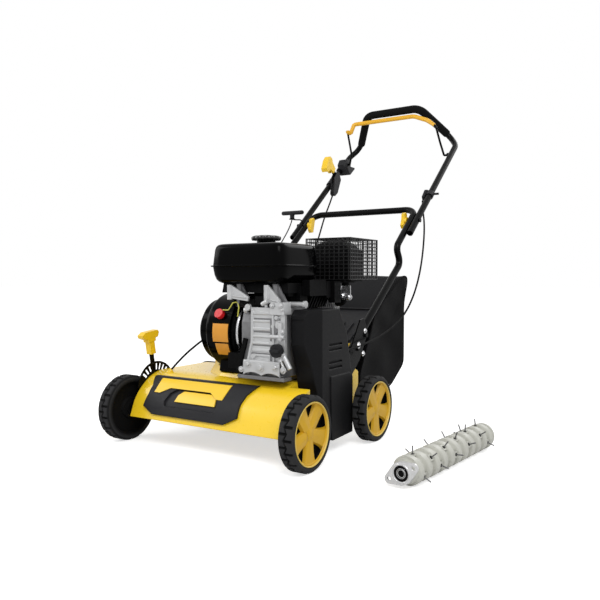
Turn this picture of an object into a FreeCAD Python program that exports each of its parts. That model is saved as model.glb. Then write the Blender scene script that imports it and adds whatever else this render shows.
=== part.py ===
import FreeCAD, Part
import math
import os
import Sketcher
from FreeCAD import Placement, Rotation, Vector

# Petrol lawn scarifier and aerator. Modelled from the ground under the front axle, in the
# machine's middle: x to its left side, y to the rear, z up. The finished pieces are set down
# round the middle of the whole footprint, which machine_x and machine_y give.

os.makedirs("parts", exist_ok=True)
doc = FreeCAD.newDocument("aerator")

SIZES = (
    # wheels and axles
    ("wheel_radius", "90"), ("tyre_width", "41"), ("wheel_face", "=deck_half + 53"), ("wheelbase", "352"),
    ("lug_height", "4"), ("lug_count", "18"), ("rim_radius", "75.6"), ("rim_lip", "4"),
    ("cover_depth", "9"), ("spoke_count", "5"), ("hub_radius", "17"), ("axle_radius", "7"),
    ("axle_play", "0.05"), ("axle_pivot_y", "66"), ("axle_pivot_z", "104"), ("plate_wall", "3"),
    # deck housing
    ("deck_half", "262"), ("deck_left", "=deck_half - 59"), ("deck_wall", "3"), ("deck_nose_y", "-21"),
    ("deck_lip", "71"), ("deck_top", "186"), ("deck_rear", "300"), ("nose_knee_y", "0"),
    ("nose_knee_z", "126"), ("nose_brow_y", "66"), ("apron_rear", "72"), ("chute_half", "196"),
    ("hinge_y", "408"), ("hinge_z", "252"), ("chute_lip_y", "452"), ("chute_lip_z", "150"),
    # front trim
    ("trim_middle", "-58"), ("trim_proud", "6"),
    # depth adjuster
    ("lever_pivot_y", "82"), ("lever_pivot_z", "140"), ("sector_radius", "72"),
    ("knob_y", "60"), ("knob_z", "272"),
    # drum and belt drive
    ("drum_y", "175"), ("drum_z", "96"), ("drum_tube", "30"), ("knife_radius", "78"),
    ("knife_count", "15"), ("drum_pulley_radius", "50"), ("crank_z", "305"),
    ("engine_pulley_radius", "38"), ("belt_x", "=deck_left + 23"), ("belt_width", "13"),
    ("belt_depth", "8"),
    ("cover_wall", "3"), ("cover_face", "=deck_half + 3"),
    ("cover_inner", "=deck_left + 0.3"),
    # engine
    ("foot_z", "195"), ("case_left", "190"), ("case_right", "62"), ("case_front", "62"),
    ("case_top", "376"), ("blower_radius", "104"), ("blower_face", "-75"), ("blower_back", "12"),
    ("recoil_radius", "86"), ("recoil_face", "-118"), ("tank_right", "-37"), ("tank_left", "192"),
    ("tank_front", "50"), ("tank_rear", "240"), ("tank_bottom", "435"), ("tank_seam", "482"),
    ("tank_top", "543"), ("cap_x", "84"), ("cap_y", "140"), ("cap_radius", "40"),
    ("guard_right", "112"), ("guard_left", "256"), ("guard_front", "288"), ("guard_rear", "464"),
    ("guard_bottom", "446"), ("guard_top", "562"),
    # handle
    ("tube_radius", "11"), ("lower_tube_x", "210"), ("upper_tube_x", "232.5"), ("fold_y", "812.6"),
    ("fold_z", "647.8"), ("grip_radius", "15.5"), ("bail_pivot_y", "1150"), ("bail_pivot_z", "923"),
    ("bail_x", "205"), ("bail_rod", "4"), ("fold_bolt", "4"), ("lever_reach", "310"), ("box_reach", "424"),
    ("anchor_reach", "156"),
    # bag
    ("bag_half", "190"), ("bag_wall", "3"),
    # loose roller
    ("roller_x", "556"), ("roller_y", "224"), ("roller_turn", "5.8"), ("roller_length", "442"),
    ("roller_radius", "34"), ("roller_core", "24"), ("tine_radius", "49"), ("flange_pitch", "66"),
    ("flange_hole", "4.5"), ("bearing_radius", "17.5"), ("roller_discs", "11"),
)
size = doc.addObject("Spreadsheet::Sheet", "size")
for line, (alias, number) in enumerate(SIZES, 1):
    size.set("A%d" % line, alias)
    size.setAlias("B%d" % line, alias)
for line, (alias, number) in enumerate(SIZES, 1):
    size.set("B%d" % line, number)
doc.recompute()

ALONG_X = Rotation(Vector(0, 1, 0), 90)
ALONG_Y = Rotation(Vector(1, 0, 0), -90)
ALONG_Z = Rotation()
X_AXIS = Vector(1, 0, 0)
Y_AXIS = Vector(0, 1, 0)
Z_AXIS = Vector(0, 0, 1)
kept = []


# ---- building blocks --------------------------------------------------------------------

def place(item, x="0", y="0", z="0"):
    """Puts an object at a point of the machine, by rules on the sheet."""
    item.setExpression(".Placement.Base.x", "size.machine_x + (%s)" % x)
    item.setExpression(".Placement.Base.y", "size.machine_y + (%s)" % y)
    item.setExpression(".Placement.Base.z", z)
    return item


def keep(item, label):
    """Names a finished sub-part and puts it on the list of files."""
    item.Label = label
    kept.append(item)
    return item


def rod(name, radius, length, turn, x, y, z):
    """A round bar from a point, along the way that turn gives."""
    item = doc.addObject("Part::Cylinder", name)
    item.Placement = Placement(Vector(), turn)
    item.setExpression("Radius", radius)
    item.setExpression("Height", length)
    return place(item, x, y, z)


def fuse(name, *pieces):
    item = doc.addObject("Part::MultiFuse", name)
    item.Shapes = list(pieces)
    item.Refine = True
    return item


def cut(name, base, *tools):
    item = doc.addObject("Part::Cut", name)
    item.Base = base
    item.Tool = tools[0] if len(tools) == 1 else fuse(name + "_tools", *tools)
    return item


def group(name, *pieces):
    """Separate solids that share one node."""
    item = doc.addObject("Part::Compound", name)
    item.Links = list(pieces)
    return item


def formed(name, shape):
    """A form that no feature fits, worked out by a function from the sheet's sizes."""
    item = doc.addObject("Part::Feature", name)
    item.Shape = shape if shape.Placement.isIdentity() else Part.makeCompound([shape])
    return place(item)


def new_body(name, x="0", y="0", z="0"):
    return place(doc.addObject("PartDesign::Body", name), x, y, z)


def sketch_on(body, name, role, level):
    sketch = body.newObject("Sketcher::SketchObject", name)
    support = next(item for item in body.Origin.OriginFeatures if item.Role == role)
    sketch.AttachmentSupport = [(support, "")]
    sketch.MapMode = "FlatFace"
    sketch.setExpression("AttachmentOffset.Base.z", level)
    return sketch


def pin_point(sketch, index, where, across, up):
    """Holds a point of a sketch at two rules measured from its origin."""
    for kind, rule in (("DistanceX", across), ("DistanceY", up)):
        number = sketch.addConstraint(Sketcher.Constraint(kind, -1, 1, index, where, 1.0))
        sketch.setExpression("Constraints[%d]" % number, str(rule))


def outline(body, name, role, points, level="0"):
    """A closed outline of straight sides with every corner held by the sheet."""
    sketch = sketch_on(body, name, role, level)
    count = len(points)
    angles = [2 * math.pi * step / count for step in range(count)]
    ring = [Vector(100 * math.cos(angle), 100 * math.sin(angle), 0) for angle in angles]
    for step in range(count):
        sketch.addGeometry(Part.LineSegment(ring[step], ring[(step + 1) % count]))
    for step in range(count):
        sketch.addConstraint(Sketcher.Constraint("Coincident", step, 2, (step + 1) % count, 1))
    for step, (across, up) in enumerate(points):
        pin_point(sketch, step, 1, across, up)
    return sketch


def pad(body, sketch, length):
    feature = body.newObject("PartDesign::Pad", sketch.Name + "_pad")
    feature.Profile = sketch
    feature.setExpression("Length", str(length))
    return feature


def pocket(body, sketch, length):
    """A cut that starts at the sketch and goes the way its plane faces."""
    feature = body.newObject("PartDesign::Pocket", sketch.Name + "_cut")
    feature.Profile = sketch
    feature.Reversed = True
    feature.setExpression("Length", str(length))
    return feature


def spin(body, sketch):
    feature = body.newObject("PartDesign::Revolution", sketch.Name + "_turned")
    feature.Profile = sketch
    feature.ReferenceAxis = (sketch, ["H_Axis"])
    feature.Angle = 360
    return feature


def ring_of(body, feature, count):
    """Repeats a feature round the body's own x axis."""
    pattern = body.newObject("PartDesign::PolarPattern", feature.Name + "_ring")
    pattern.Originals = [feature]
    axis = next(item for item in body.Origin.OriginFeatures if item.Role == "X_Axis")
    pattern.Axis = (axis, [""])
    pattern.Angle = 360
    pattern.setExpression("Occurrences", str(count))
    body.Tip = pattern
    return pattern


def prism(ring, along, low, high):
    """A straight-sided solid on a ring of corners, from low to high along an axis."""
    corner = {"x": lambda u, v: Vector(low, u, v), "y": lambda u, v: Vector(u, low, v),
              "z": lambda u, v: Vector(u, v, low)}[along]
    way = {"x": X_AXIS, "y": Y_AXIS, "z": Z_AXIS}[along]
    points = [corner(u, v) for u, v in ring]
    face = Part.Face(Part.makePolygon(points + points[:1]))
    return face.extrude(way * (high - low))


def path_steps(points, radii=None):
    """Splits a path into straight runs and tangent arcs. A run is (start, end) and an arc is
    (start, end, centre, axis, turn). An arc's radius is 0.45 of the shorter run over the
    tangent of half the turn, unless radii gives one."""
    steps = []
    used = []
    here = points[0]
    for index in range(1, len(points) - 1):
        back = points[index - 1] - points[index]
        ahead = points[index + 1] - points[index]
        turn = math.pi - back.getAngle(ahead)
        reach = 0.45 * min(back.Length, ahead.Length)
        radius = reach / math.tan(turn / 2) if radii is None else radii[index - 1]
        reach = radius * math.tan(turn / 2)
        used.append(radius)
        axis = ahead.cross(back).normalize()
        back.normalize()
        ahead.normalize()
        start = points[index] + back * reach
        end = points[index] + ahead * reach
        centre = points[index] + (back + ahead).normalize() * (radius / math.cos(turn / 2))
        if (start - here).Length > 0.01:
            steps.append((here, start))
        steps.append((start, end, centre, axis, turn))
        here = end
    steps.append((here, points[-1]))
    return steps, used


def path_wire(points, radii=None):
    """The path as edges, for an outline."""
    edges = []
    for step in path_steps(points, radii)[0]:
        if len(step) == 2:
            edges.append(Part.LineSegment(step[0], step[1]).toShape())
        else:
            start, end, centre = step[:3]
            middle = centre + ((start + end) / 2 - centre).normalize() * (start - centre).Length
            edges.append(Part.Arc(start, middle, end).toShape())
    return Part.Wire(edges)


def path_length(steps):
    return sum((step[1] - step[0]).Length if len(step) == 2 else (step[0] - step[2]).Length * step[4]
               for step in steps)


def carried(steps, outer, inner=0):
    """A round bar or tube along a path: each run is drawn out and each arc turned."""
    pieces = []
    for index, step in enumerate(steps):
        start = step[0]
        if len(step) == 2:
            way = step[1] - start
        else:
            way = step[3].cross(start - step[2])
        section = Part.Face(Part.Wire(Part.makeCircle(outer, start, way)))
        if inner:
            section = section.cut(Part.Face(Part.Wire(Part.makeCircle(inner, start, way))))
            section = section.Faces[0]
        if len(step) == 2:
            pieces.append(section.extrude(way))
        else:
            pieces.append(section.revolve(step[2], step[3], math.degrees(step[4])))
    return pieces[0].fuse(pieces[1:]) if len(pieces) > 1 else pieces[0]


def cable(name, points, radius):
    steps, used = path_steps(points)
    shape = carried(steps, radius)
    exact = math.pi * radius ** 2 * path_length(steps)
    print(name, "length %.0f" % path_length(steps), "volume ratio %.4f" % (shape.Volume / exact),
          "radii", ["%.0f" % value for value in used])
    return shape


def mirrored(shape):
    """The same shape on the machine's other side."""
    return shape.mirror(Vector(), X_AXIS)


# ---- wheels and axles -------------------------------------------------------------------

def wheel(label, side, y):
    """Black moulded wheel: tyre with vee grooves, a web and a bored hub."""
    body = new_body(label, "%d * (size.wheel_face - size.tyre_width)" % side, y, "size.wheel_radius")
    if side < 0:
        body.Placement = Placement(body.Placement.Base, Rotation(Z_AXIS, 180))
    bore = "size.axle_radius + size.axle_play"
    seat = "size.rim_radius"
    wide = "size.tyre_width"
    section = ((2, bore), (30, bore), (30, "size.hub_radius"), (20, "size.hub_radius"), (20, seat),
               (wide, seat), (wide, "size.wheel_radius - 7"), (wide + " - 5", "size.wheel_radius"),
               (5, "size.wheel_radius"), (0, "size.wheel_radius - 7"), (0, "size.rim_radius - 5"),
               (16, "size.rim_radius - 5"), (16, "size.hub_radius"), (2, "size.hub_radius"))
    spin(body, outline(body, label + "_section", "XY_Plane", section))
    floor = "size.wheel_radius - size.lug_height"
    middle = "size.tyre_width / 2"
    vee = ((-1, -10), (middle, 2), (wide + " + 1", -10), (wide + " + 1", -2), (middle, 10), (-1, -2))
    groove = pocket(body, outline(body, label + "_vee", "XY_Plane", vee, floor), 12)
    ring_of(body, groove, "size.lug_count")
    return keep(body, label)


def wheel_cover(label, side, y):
    """Clip-in cover: a lipped ring, a dished web with windows between spokes, and a boss."""
    body = new_body(label, "%d * (size.wheel_face - size.tyre_width)" % side, y, "size.wheel_radius")
    if side < 0:
        body.Placement = Placement(body.Placement.Base, Rotation(Z_AXIS, 180))
    edge = "size.rim_radius"
    wide = "size.tyre_width"
    section = ((30.5, 0), (38, 0), (38, 16), (34, 22), (34, edge + " - 9"),
               (wide + " - 1", edge + " - 4.5"), (wide, edge + " - 3.5"), (wide, edge), (20, edge),
               (20, edge + " - 3"), (30.5, edge + " - 9"))
    spin(body, outline(body, label + "_section", "XY_Plane", section))
    window = []
    for reach, angle in ((65, 20), (46, 21), (29, 9), (29, -9), (46, -21), (65, -20)):
        turn = math.radians(angle)
        window.append(("%s * %.4f" % (edge, reach / 75.6 * math.sin(turn)),
                       "%s * %.4f" % (edge, reach / 75.6 * math.cos(turn))))
    opening = pocket(body, outline(body, label + "_window", "YZ_Plane", window, "20"), 20)
    ring_of(body, opening, "size.spoke_count")
    return keep(body, label)


def rear_axle():
    """Through axle with a nut on each end."""
    half = "(size.wheel_face - 11.5)"
    shaft = rod("rear_shaft", "size.axle_radius", "2 * " + half, ALONG_X, "-" + half, "size.wheelbase",
                "size.wheel_radius")
    return keep(shaft, "rear_axle")


def front_axle():
    """Cross tube in the housing with an arm and a stub at each end, which carries a wheel.
    The right arm has a slot for the depth lever's pin."""
    pieces = [rod("cross_shaft", "8", "2 * (size.wheel_face - 41.5)", ALONG_X,
                  "-(size.wheel_face - 41.5)", "size.axle_pivot_y", "size.axle_pivot_z")]
    y0 = size.axle_pivot_y
    z0 = size.axle_pivot_z
    z1 = size.wheel_radius
    reach = math.hypot(y0, z0 - z1)
    for side in (-1, 1):
        low = size.wheel_face - size.tyre_width - 4.5
        arm = Part.makeCylinder(14, 3, Vector(low, y0, z0), X_AXIS)
        arm = arm.fuse(Part.makeCylinder(12, 3, Vector(low, 0, z1), X_AXIS))
        lean = math.atan2(z1 - z0, -y0)
        bar = Part.makeBox(3, reach, 18, Vector(low, 0, -9))
        bar.rotate(Vector(), X_AXIS, math.degrees(lean))
        bar.translate(Vector(0, y0, z0))
        arm = arm.fuse(bar)
        stub = Part.makeCylinder(size.axle_radius, size.wheel_face - 11.5 - low, Vector(low, 0, z1),
                                 X_AXIS)
        arm = arm.fuse(stub)
        if side < 0:
            horn = prism(slot_ring(), "x", low, low + 3)
            arm = mirrored(arm.fuse(horn).cut(prism(slot_hole(), "x", low - 1, low + 4)))
        pieces.append(formed("front_arm_%d" % (side + 1), arm))
    return keep(fuse("front_axle_welded", *pieces), "front_axle")


def slot_line(near, far, half):
    """A bar in the lever's plane, between two distances from the axle's pivot."""
    y = size.lever_pivot_y - size.axle_pivot_y
    z = size.lever_pivot_z - size.axle_pivot_z
    reach = math.hypot(y, z)
    y, z = y / reach, z / reach
    corners = ((near, -half), (far, -half), (far, half), (near, half))
    return [(size.axle_pivot_y + along * y - off * z, size.axle_pivot_z + along * z + off * y)
            for along, off in corners]


def slot_ring():
    return slot_line(0, 39, 9)


def slot_hole():
    return slot_line(25, 36.5, 3.6)


# ---- depth adjuster ---------------------------------------------------------------------

def depth_sector():
    """Comb plate beside the housing with a slot for each depth and the stud the lever turns on."""
    y0, z0 = size.lever_pivot_y, size.lever_pivot_z
    low = -size.deck_half - size.plate_wall
    outer = Part.makeCylinder(size.sector_radius, size.plate_wall, Vector(low, y0, z0), X_AXIS)
    wedge = prism([(y0, z0 - 18), (y0 + 90, z0 - 4), (y0 + 90, z0 + 90), (y0 - 90, z0 + 90),
                   (y0 - 90, z0 + 12)], "x", low, low + size.plate_wall)
    comb = outer.common(wedge)
    slot = Part.makeBox(size.plate_wall + 2, 7, 18, Vector(low - 1, y0 - 3.5, z0 + size.sector_radius - 24))
    for turn in range(-52, 60, 13):
        tooth = slot.copy()
        tooth.rotate(Vector(0, y0, z0), X_AXIS, turn)
        comb = comb.cut(tooth)
    comb = comb.fuse(Part.makeCylinder(5, size.plate_wall + 4.2, Vector(low - 4.2, y0, z0), X_AXIS))
    return keep(formed("depth_sector", comb), "depth_sector")


def lever_frame():
    """The lever's pivot, its lean from upright and its length to the knob."""
    y = size.knob_y - size.lever_pivot_y
    z = size.knob_z - size.lever_pivot_z
    return math.atan2(-y, z), math.hypot(y, z)


def depth_lever():
    """Flat lever on the pivot bolt, with a cam pin below it that works the axle's slot."""
    y0, z0 = size.lever_pivot_y, size.lever_pivot_z
    low = -size.deck_half - size.plate_wall - 0.4 - 3
    lean, reach = lever_frame()
    boss = Part.makeCylinder(13, 3, Vector(low, y0, z0), X_AXIS)
    bar = Part.makeBox(3, 15, reach - 38, Vector(low, y0 - 7.5, z0))
    bar.rotate(Vector(0, y0, z0), X_AXIS, math.degrees(lean))
    lever = boss.fuse(bar)
    span = math.hypot(y0 - size.axle_pivot_y, z0 - size.axle_pivot_z)
    away = 8.5 / span
    pin_y = y0 + (size.axle_pivot_y - y0) * away
    pin_z = z0 + (size.axle_pivot_z - z0) * away
    lever = lever.fuse(Part.makeCylinder(2.8, 4.2, Vector(low - 4.2, pin_y, pin_z), X_AXIS))
    lever = lever.cut(Part.makeCylinder(5.05, 6, Vector(low - 1, y0, z0), X_AXIS))
    return keep(formed("depth_lever", lever), "depth_lever")


def depth_knob():
    """Tee knob moulded on the lever's end: a sleeve with a crossbar that tapers to its front."""
    lean, reach = lever_frame()
    low = -size.deck_half - size.plate_wall - 0.4
    sleeve = prism([(-11, -9), (8, -9), (8, 9), (-11, 9)], "z", reach - 38, reach + 2)
    sleeve = sleeve.fuse(prism([(-12, -14), (9, -14), (9, 14), (-12, 14)], "z", reach - 2, reach + 8))
    bar = prism([(-32, reach + 14), (-34, reach + 22), (-20, reach + 29), (26, reach + 27),
                 (30, reach + 20), (24, reach + 8), (-10, reach + 2)], "x", -12, 9)
    knob = sleeve.fuse(bar)
    knob.rotate(Vector(), X_AXIS, math.degrees(lean))
    knob.translate(Vector(low, size.lever_pivot_y, size.lever_pivot_z))
    return keep(formed("depth_knob", knob), "depth_knob")


# ---- deck housing -----------------------------------------------------------------------

def nose_line(off):
    """The housing's front and top in side view, moved out by off, as a wire."""
    points = [Vector(0, size.deck_nose_y - off, size.deck_lip),
              Vector(0, size.nose_knee_y - off, size.nose_knee_z + 0.3 * off),
              Vector(0, size.nose_brow_y - 0.3 * off, size.deck_top + off),
              Vector(0, size.deck_rear, size.deck_top + off)]
    return path_wire(points, (110, 120))


def nose_face(off, rear, floor):
    """Side view of the housing filled in, back to rear and down to floor."""
    wire = nose_line(off)
    first = wire.Vertexes[0].Point
    last = wire.Vertexes[-1].Point
    low_first = Vector(0, first.y, floor)
    low_last = Vector(0, last.y, floor)
    edges = wire.Edges + [Part.LineSegment(last, low_last).toShape(),
                          Part.LineSegment(low_last, low_first).toShape()]
    if abs(first.z - floor) > 0.01:
        edges.append(Part.LineSegment(low_first, first).toShape())
    face = Part.Face(Part.Wire(edges))
    limit = Part.Face(Part.makePolygon([Vector(0, -500, -200), Vector(0, rear, -200),
                                        Vector(0, rear, 900), Vector(0, -500, 900),
                                        Vector(0, -500, -200)]))
    return face.common(limit)


def deck():
    """Pressed housing open below: main box over the drum, a half-width front apron past the
    belt cover, and a chute at the rear towards the bag."""
    wall = size.deck_wall
    low, high = -size.deck_half, size.deck_left
    lip, top = size.deck_lip, size.deck_top

    def slab(face, x0, x1):
        solid = face.copy()
        solid.translate(Vector(x0, 0, 0))
        return solid.extrude(X_AXIS * (x1 - x0))

    outer = slab(nose_face(0, size.deck_rear, lip), low, high)
    apron = slab(nose_face(0, size.apron_rear, lip), high, size.deck_half)
    inner = slab(nose_face(-wall, size.deck_rear - wall, lip - 20), low + wall, high - wall)
    apron_inner = slab(nose_face(-wall, size.apron_rear - wall, lip - 20), high - wall - 1,
                       size.deck_half - wall)
    roof = [(size.deck_rear - wall, top), (331, top), (size.hinge_y - 4, size.hinge_z - 9),
            (size.chute_lip_y, size.chute_lip_z), (size.deck_rear - wall, 80)]
    room = [(size.deck_rear - wall - 2, top - wall), (331 + 1, top - wall),
            (size.hinge_y - 3, size.hinge_z - 13), (size.chute_lip_y + 40, size.chute_lip_z + 20),
            (size.chute_lip_y + 1, size.chute_lip_z + wall), (size.deck_rear - wall - 2, 80 + wall)]
    chute = prism(roof, "x", -size.chute_half, size.chute_half)
    duct = prism(room, "x", -size.chute_half + wall, size.chute_half - wall)
    shell = outer.fuse([apron, chute]).cut([inner, apron_inner, duct])
    holes = [Part.makeCylinder(8.3, 700, Vector(-350, size.axle_pivot_y, size.axle_pivot_z), X_AXIS),
             Part.makeCylinder(27, 700, Vector(-350, size.drum_y, size.drum_z), X_AXIS)]
    stop = Part.makeCylinder(6.5, 26, Vector(-214.1, 91.8, 189.8), Vector(-14, -26, -32))
    shell = shell.cut(holes).fuse(rear_plates() + [hinge_rod(), stop, fan_saddle()]).removeSplitter()
    return keep(formed("deck", shell), "deck")


def fan_saddle():
    """Faceted hump on the housing's top that the fan casing's underside sits in."""
    top = size.deck_top
    y, z = size.drum_y, size.crank_z
    foot = Part.makePolygon([Vector(px, py, top - 1) for px, py in (
        (-136, 176), (-112, 140), (-44, 98), (30, 88), (30, 250), (-120, 250), (-136, 176))])
    crest = Part.makePolygon([Vector(px, py, top + 38) for px, py in (
        (-112, 180), (-98, 160), (-34, 130), (0, 126), (0, 226), (-104, 226), (-112, 180))])
    hump = Part.makeLoft([foot, crest], True, True)
    casing = Part.makeCylinder(size.blower_radius + 1.5, 140, Vector(size.blower_face - 1.5, y, z), X_AXIS)
    starter = Part.makeCylinder(size.recoil_radius + 1.5, 60, Vector(size.blower_face - 60, y, z), X_AXIS)
    base = prism([(y - 76, top + 8), (y - 63, z - 30), (y + 63, z - 30), (y + 76, top + 8)], "x",
                 size.blower_face + 28, size.blower_back + 60)
    return hump.cut([casing, starter, base])


def nose_prism(off, low, high):
    face = nose_face(off, 150, size.deck_lip)
    face.translate(Vector(low, 0, 0))
    return face.extrude(X_AXIS * (high - low))


def trim_blank(off):
    """A skin that lies on the housing's front, off thick."""
    low = size.trim_middle - 190
    high = size.trim_middle + 190
    return nose_prism(off, low, high).cut(nose_prism(0.3, low - 1, high + 1))


def ring_about(middle, halves):
    """A ring symmetrical about a vertical line, from half-widths and heights."""
    right = [(middle + half, z) for half, z in halves]
    left = [(middle - half, z) for half, z in reversed(halves)]
    return right + left


TRIM_EDGE = ((122, 86), (160, 104), (157, 134), (161, 155), (178, 176.5))
SLOT_EDGE = ((84, 109), (90, 120), (82, 141), (58, 156))
BAR_EDGE = ((68, 123), (64, 139), (52, 148))
BROW_EDGE = ((100, 140), (116, 141), (122, 160), (124, 172))


def brow_ring(grow):
    """Eyebrow over the hand slot: a band with a short leg at each end."""
    middle = size.trim_middle - 20
    top = 173 + grow
    return [(middle + 122 + grow, top), (middle + 118 + grow, 140 - grow), (middle + 98 - grow, 140 - grow),
            (middle + 70, 153 - grow), (middle - 70, 153 - grow), (middle - 98 + grow, 140 - grow),
            (middle - 118 - grow, 140 - grow), (middle - 122 - grow, top)]


def front_trim():
    """Black moulded panel on the housing's nose, with a hand recess and room for the brow."""
    edge = prism(ring_about(size.trim_middle, TRIM_EDGE), "y", -60, 140)
    slot = prism(ring_about(size.trim_middle, SLOT_EDGE), "y", -60, 60)
    slot = slot.cut(nose_prism(1.2, size.trim_middle - 200, size.trim_middle + 200))
    brow = prism(brow_ring(0.2), "y", -60, 140)
    panel = trim_blank(size.trim_proud).common(edge).cut([slot, brow])
    return keep(formed("front_trim", panel), "front_trim")


def front_brow():
    """Yellow inserts of the front panel: the brow, and the bar that lies in the hand recess."""
    brow = trim_blank(size.trim_proud + 1.5).common(prism(brow_ring(0), "y", -60, 140))
    bar = trim_blank(4.5).common(prism(ring_about(size.trim_middle + 12, BAR_EDGE), "y", -60, 60))
    bar = bar.cut(nose_prism(1.2, size.trim_middle - 200, size.trim_middle + 200))
    return keep(formed("front_brow", Part.makeCompound([brow, bar])), "front_brow")


def rear_plates():
    """Side plates welded to the housing, which carry the rear axle and the handle brackets."""
    y, z = size.wheelbase, size.wheel_radius
    near = size.deck_rear
    profile = [(near, 70), (near, 293), (near + 22, 293), (near + 34, 215), (y + 46, 182), (y + 46, 148),
               (y + 24, 74), (y - 12, 66)]
    low = size.lower_tube_x + size.tube_radius + 1
    pieces = []
    for side in (1, -1):
        side_plate = prism(profile, "x", low, low + size.plate_wall)
        flange = prism([(size.chute_half - 1, near - 1), (low + size.plate_wall, near - 1),
                        (low + size.plate_wall, near + 2), (size.chute_half - 1, near + 2)], "z", 84, 205)
        whole = side_plate.fuse(flange)
        whole = whole.cut(Part.makeCylinder(size.axle_radius + size.axle_play, 60, Vector(low - 20, y, z),
                                            X_AXIS))
        pieces.append(whole if side > 0 else mirrored(whole))
    return pieces


def handle_brackets():
    """Black plates outside the housing's, with the bolts of the handle's lower ends."""
    low = size.lower_tube_x + size.tube_radius + 1 + size.plate_wall + 0.3
    profile = [(330, 186), (352, 178), (398, 214), (452, 292), (428, 334), (404, 330), (318, 214)]
    plate_shape = prism(profile, "x", low, low + 4)
    bolts = []
    for y, z in ((388, 249), (436, 284)):
        shank = Part.makeCylinder(4, low + 9 - 198, Vector(198, y, z), X_AXIS)
        head = Part.makeCylinder(7.5, 5, Vector(low + 4, y, z), X_AXIS)
        plate_shape = plate_shape.cut(Part.makeCylinder(4.05, 10, Vector(low - 2, y, z), X_AXIS))
        bolts += [shank.fuse(head)]
    pieces = [plate_shape, fold_bolt()] + bolts
    pieces += [mirrored(piece) for piece in pieces]
    return keep(formed("handle_brackets", Part.makeCompound(pieces)), "handle_brackets")


# ---- belt cover and drive ---------------------------------------------------------------

def cover_profile(off):
    """Side view of the belt cover, drawn in by off. Its front edge draws back below the crank."""
    return [(78 + off, 285), (78 + off, 356 - off), (92 + off, 371 - off), (214 - off, 371 - off),
            (234 - off, 337), (254 - off, 308), (275 - off, 228), (286 - off, 190), (286 - off, 34 + off),
            (180, 31 + off), (112 + off, 64 + off), (112 + off, 165), (106 + off, 189), (98 + off, 228)]


def cover_plan(off):
    """Plan of the belt cover with its front corner cut away, drawn in by off."""
    face = size.cover_face - off
    return [(size.cover_inner - 1, 70 + off), (face - 24, 70 + off), (face - 24, 78 + off),
            (face, 126 + off / 2), (face, 300), (size.cover_inner - 1, 300)]


def belt_cover():
    """Moulded cover over the belt drive, open towards the engine, with two pairs of slots and
    a raised lower field."""
    wall = size.cover_wall
    face = size.cover_face
    outer = prism(cover_profile(0), "x", size.cover_inner, face)
    outer = outer.common(prism(cover_plan(0), "z", 0, 400))
    inner = prism(cover_profile(wall), "x", size.cover_inner - 1, face - wall)
    inner = inner.common(prism(cover_plan(wall), "z", 0, 400))
    field = prism([(170, 36), (283, 36), (283, 186), (272, 198), (166, 198)], "x", face - 0.5, face + 3)
    slots = [Part.makeBox(20, 68, 5, Vector(face - 10, 160, z)) for z in (277, 264, 231, 217)]
    ridge = Part.makeBox(face - 24 - size.cover_inner, 3, 5, Vector(size.cover_inner, 76, 347))
    cover = outer.fuse([field, ridge]).cut([inner] + slots)
    cover = cover.cut(prism(nose_ring_clear(), "x", size.cover_inner - 2, face + 5))
    return keep(formed("belt_cover", cover.removeSplitter()), "belt_cover")


def nose_ring_clear():
    """Room for the apron's rear edge and the front axle's cross shaft."""
    return [(40, 40), (size.apron_rear + 0.3, 40), (size.apron_rear + 0.3, 200), (40, 200)]


def v_pulley(name, label, x, y, z, radius, bore):
    """Grooved belt pulley: two coned flanges, a groove and a bored hub."""
    body = new_body(name, x, y, z)
    half = "size.belt_width / 2 + 4"
    depth = "%s - size.belt_depth" % radius
    section = (("-(%s)" % half, bore), (half, bore), (half, radius), ("size.belt_width / 2 + 1", radius),
               ("size.belt_width / 2 - 2", depth), ("2 - size.belt_width / 2", depth),
               ("-1 - size.belt_width / 2", radius), ("-(%s)" % half, radius))
    spin(body, outline(body, name + "_section", "XY_Plane", section))
    return keep(body, label)


def drive_belt():
    """Vee belt round both pulleys: tangent runs and two wraps."""
    r1 = size.engine_pulley_radius - size.belt_depth + 0.3
    r2 = size.drum_pulley_radius - size.belt_depth + 0.3
    span = size.crank_z - size.drum_z
    lean = math.asin((r2 - r1) / span)
    y0 = size.drum_y

    def loop(extra):
        points = []
        for z, radius, start, end in ((size.crank_z, r1, lean, math.pi - lean),
                                      (size.drum_z, r2, math.pi - lean, 2 * math.pi + lean)):
            for share in range(17):
                turn = start + (end - start) * share / 16
                reach = radius + extra
                points.append((y0 + reach * math.cos(turn), z + reach * math.sin(turn)))
        return points

    half = size.belt_width / 2 - 2.3
    belt = prism(loop(size.belt_depth), "x", size.belt_x - half, size.belt_x + half)
    belt = belt.cut(prism(loop(0), "x", size.belt_x - half - 1, size.belt_x + half + 1))
    return keep(formed("drive_belt", belt), "drive_belt")


def idler_arm():
    """Belt tensioner: an arm with a flat roller that lies on the belt's front run."""
    x0 = size.belt_x
    arm = prism([(90, 283), (110, 283), (114, 262), (127, 240), (118, 228), (106, 230), (90, 262)], "x",
                x0 - 22, x0 - 18)
    arm = arm.cut(Part.makeCylinder(5.05, 10, Vector(x0 - 26, 100, 272), X_AXIS))
    roller = Part.makeCylinder(15.5, 12, Vector(x0 - 6, 116.8, 240), X_AXIS)
    axle = Part.makeCylinder(4, 30, Vector(x0 - 20, 116.8, 240), X_AXIS)
    return keep(formed("idler_arm", arm.fuse([roller, axle])), "idler_arm")


# ---- knife drum -------------------------------------------------------------------------

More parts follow.
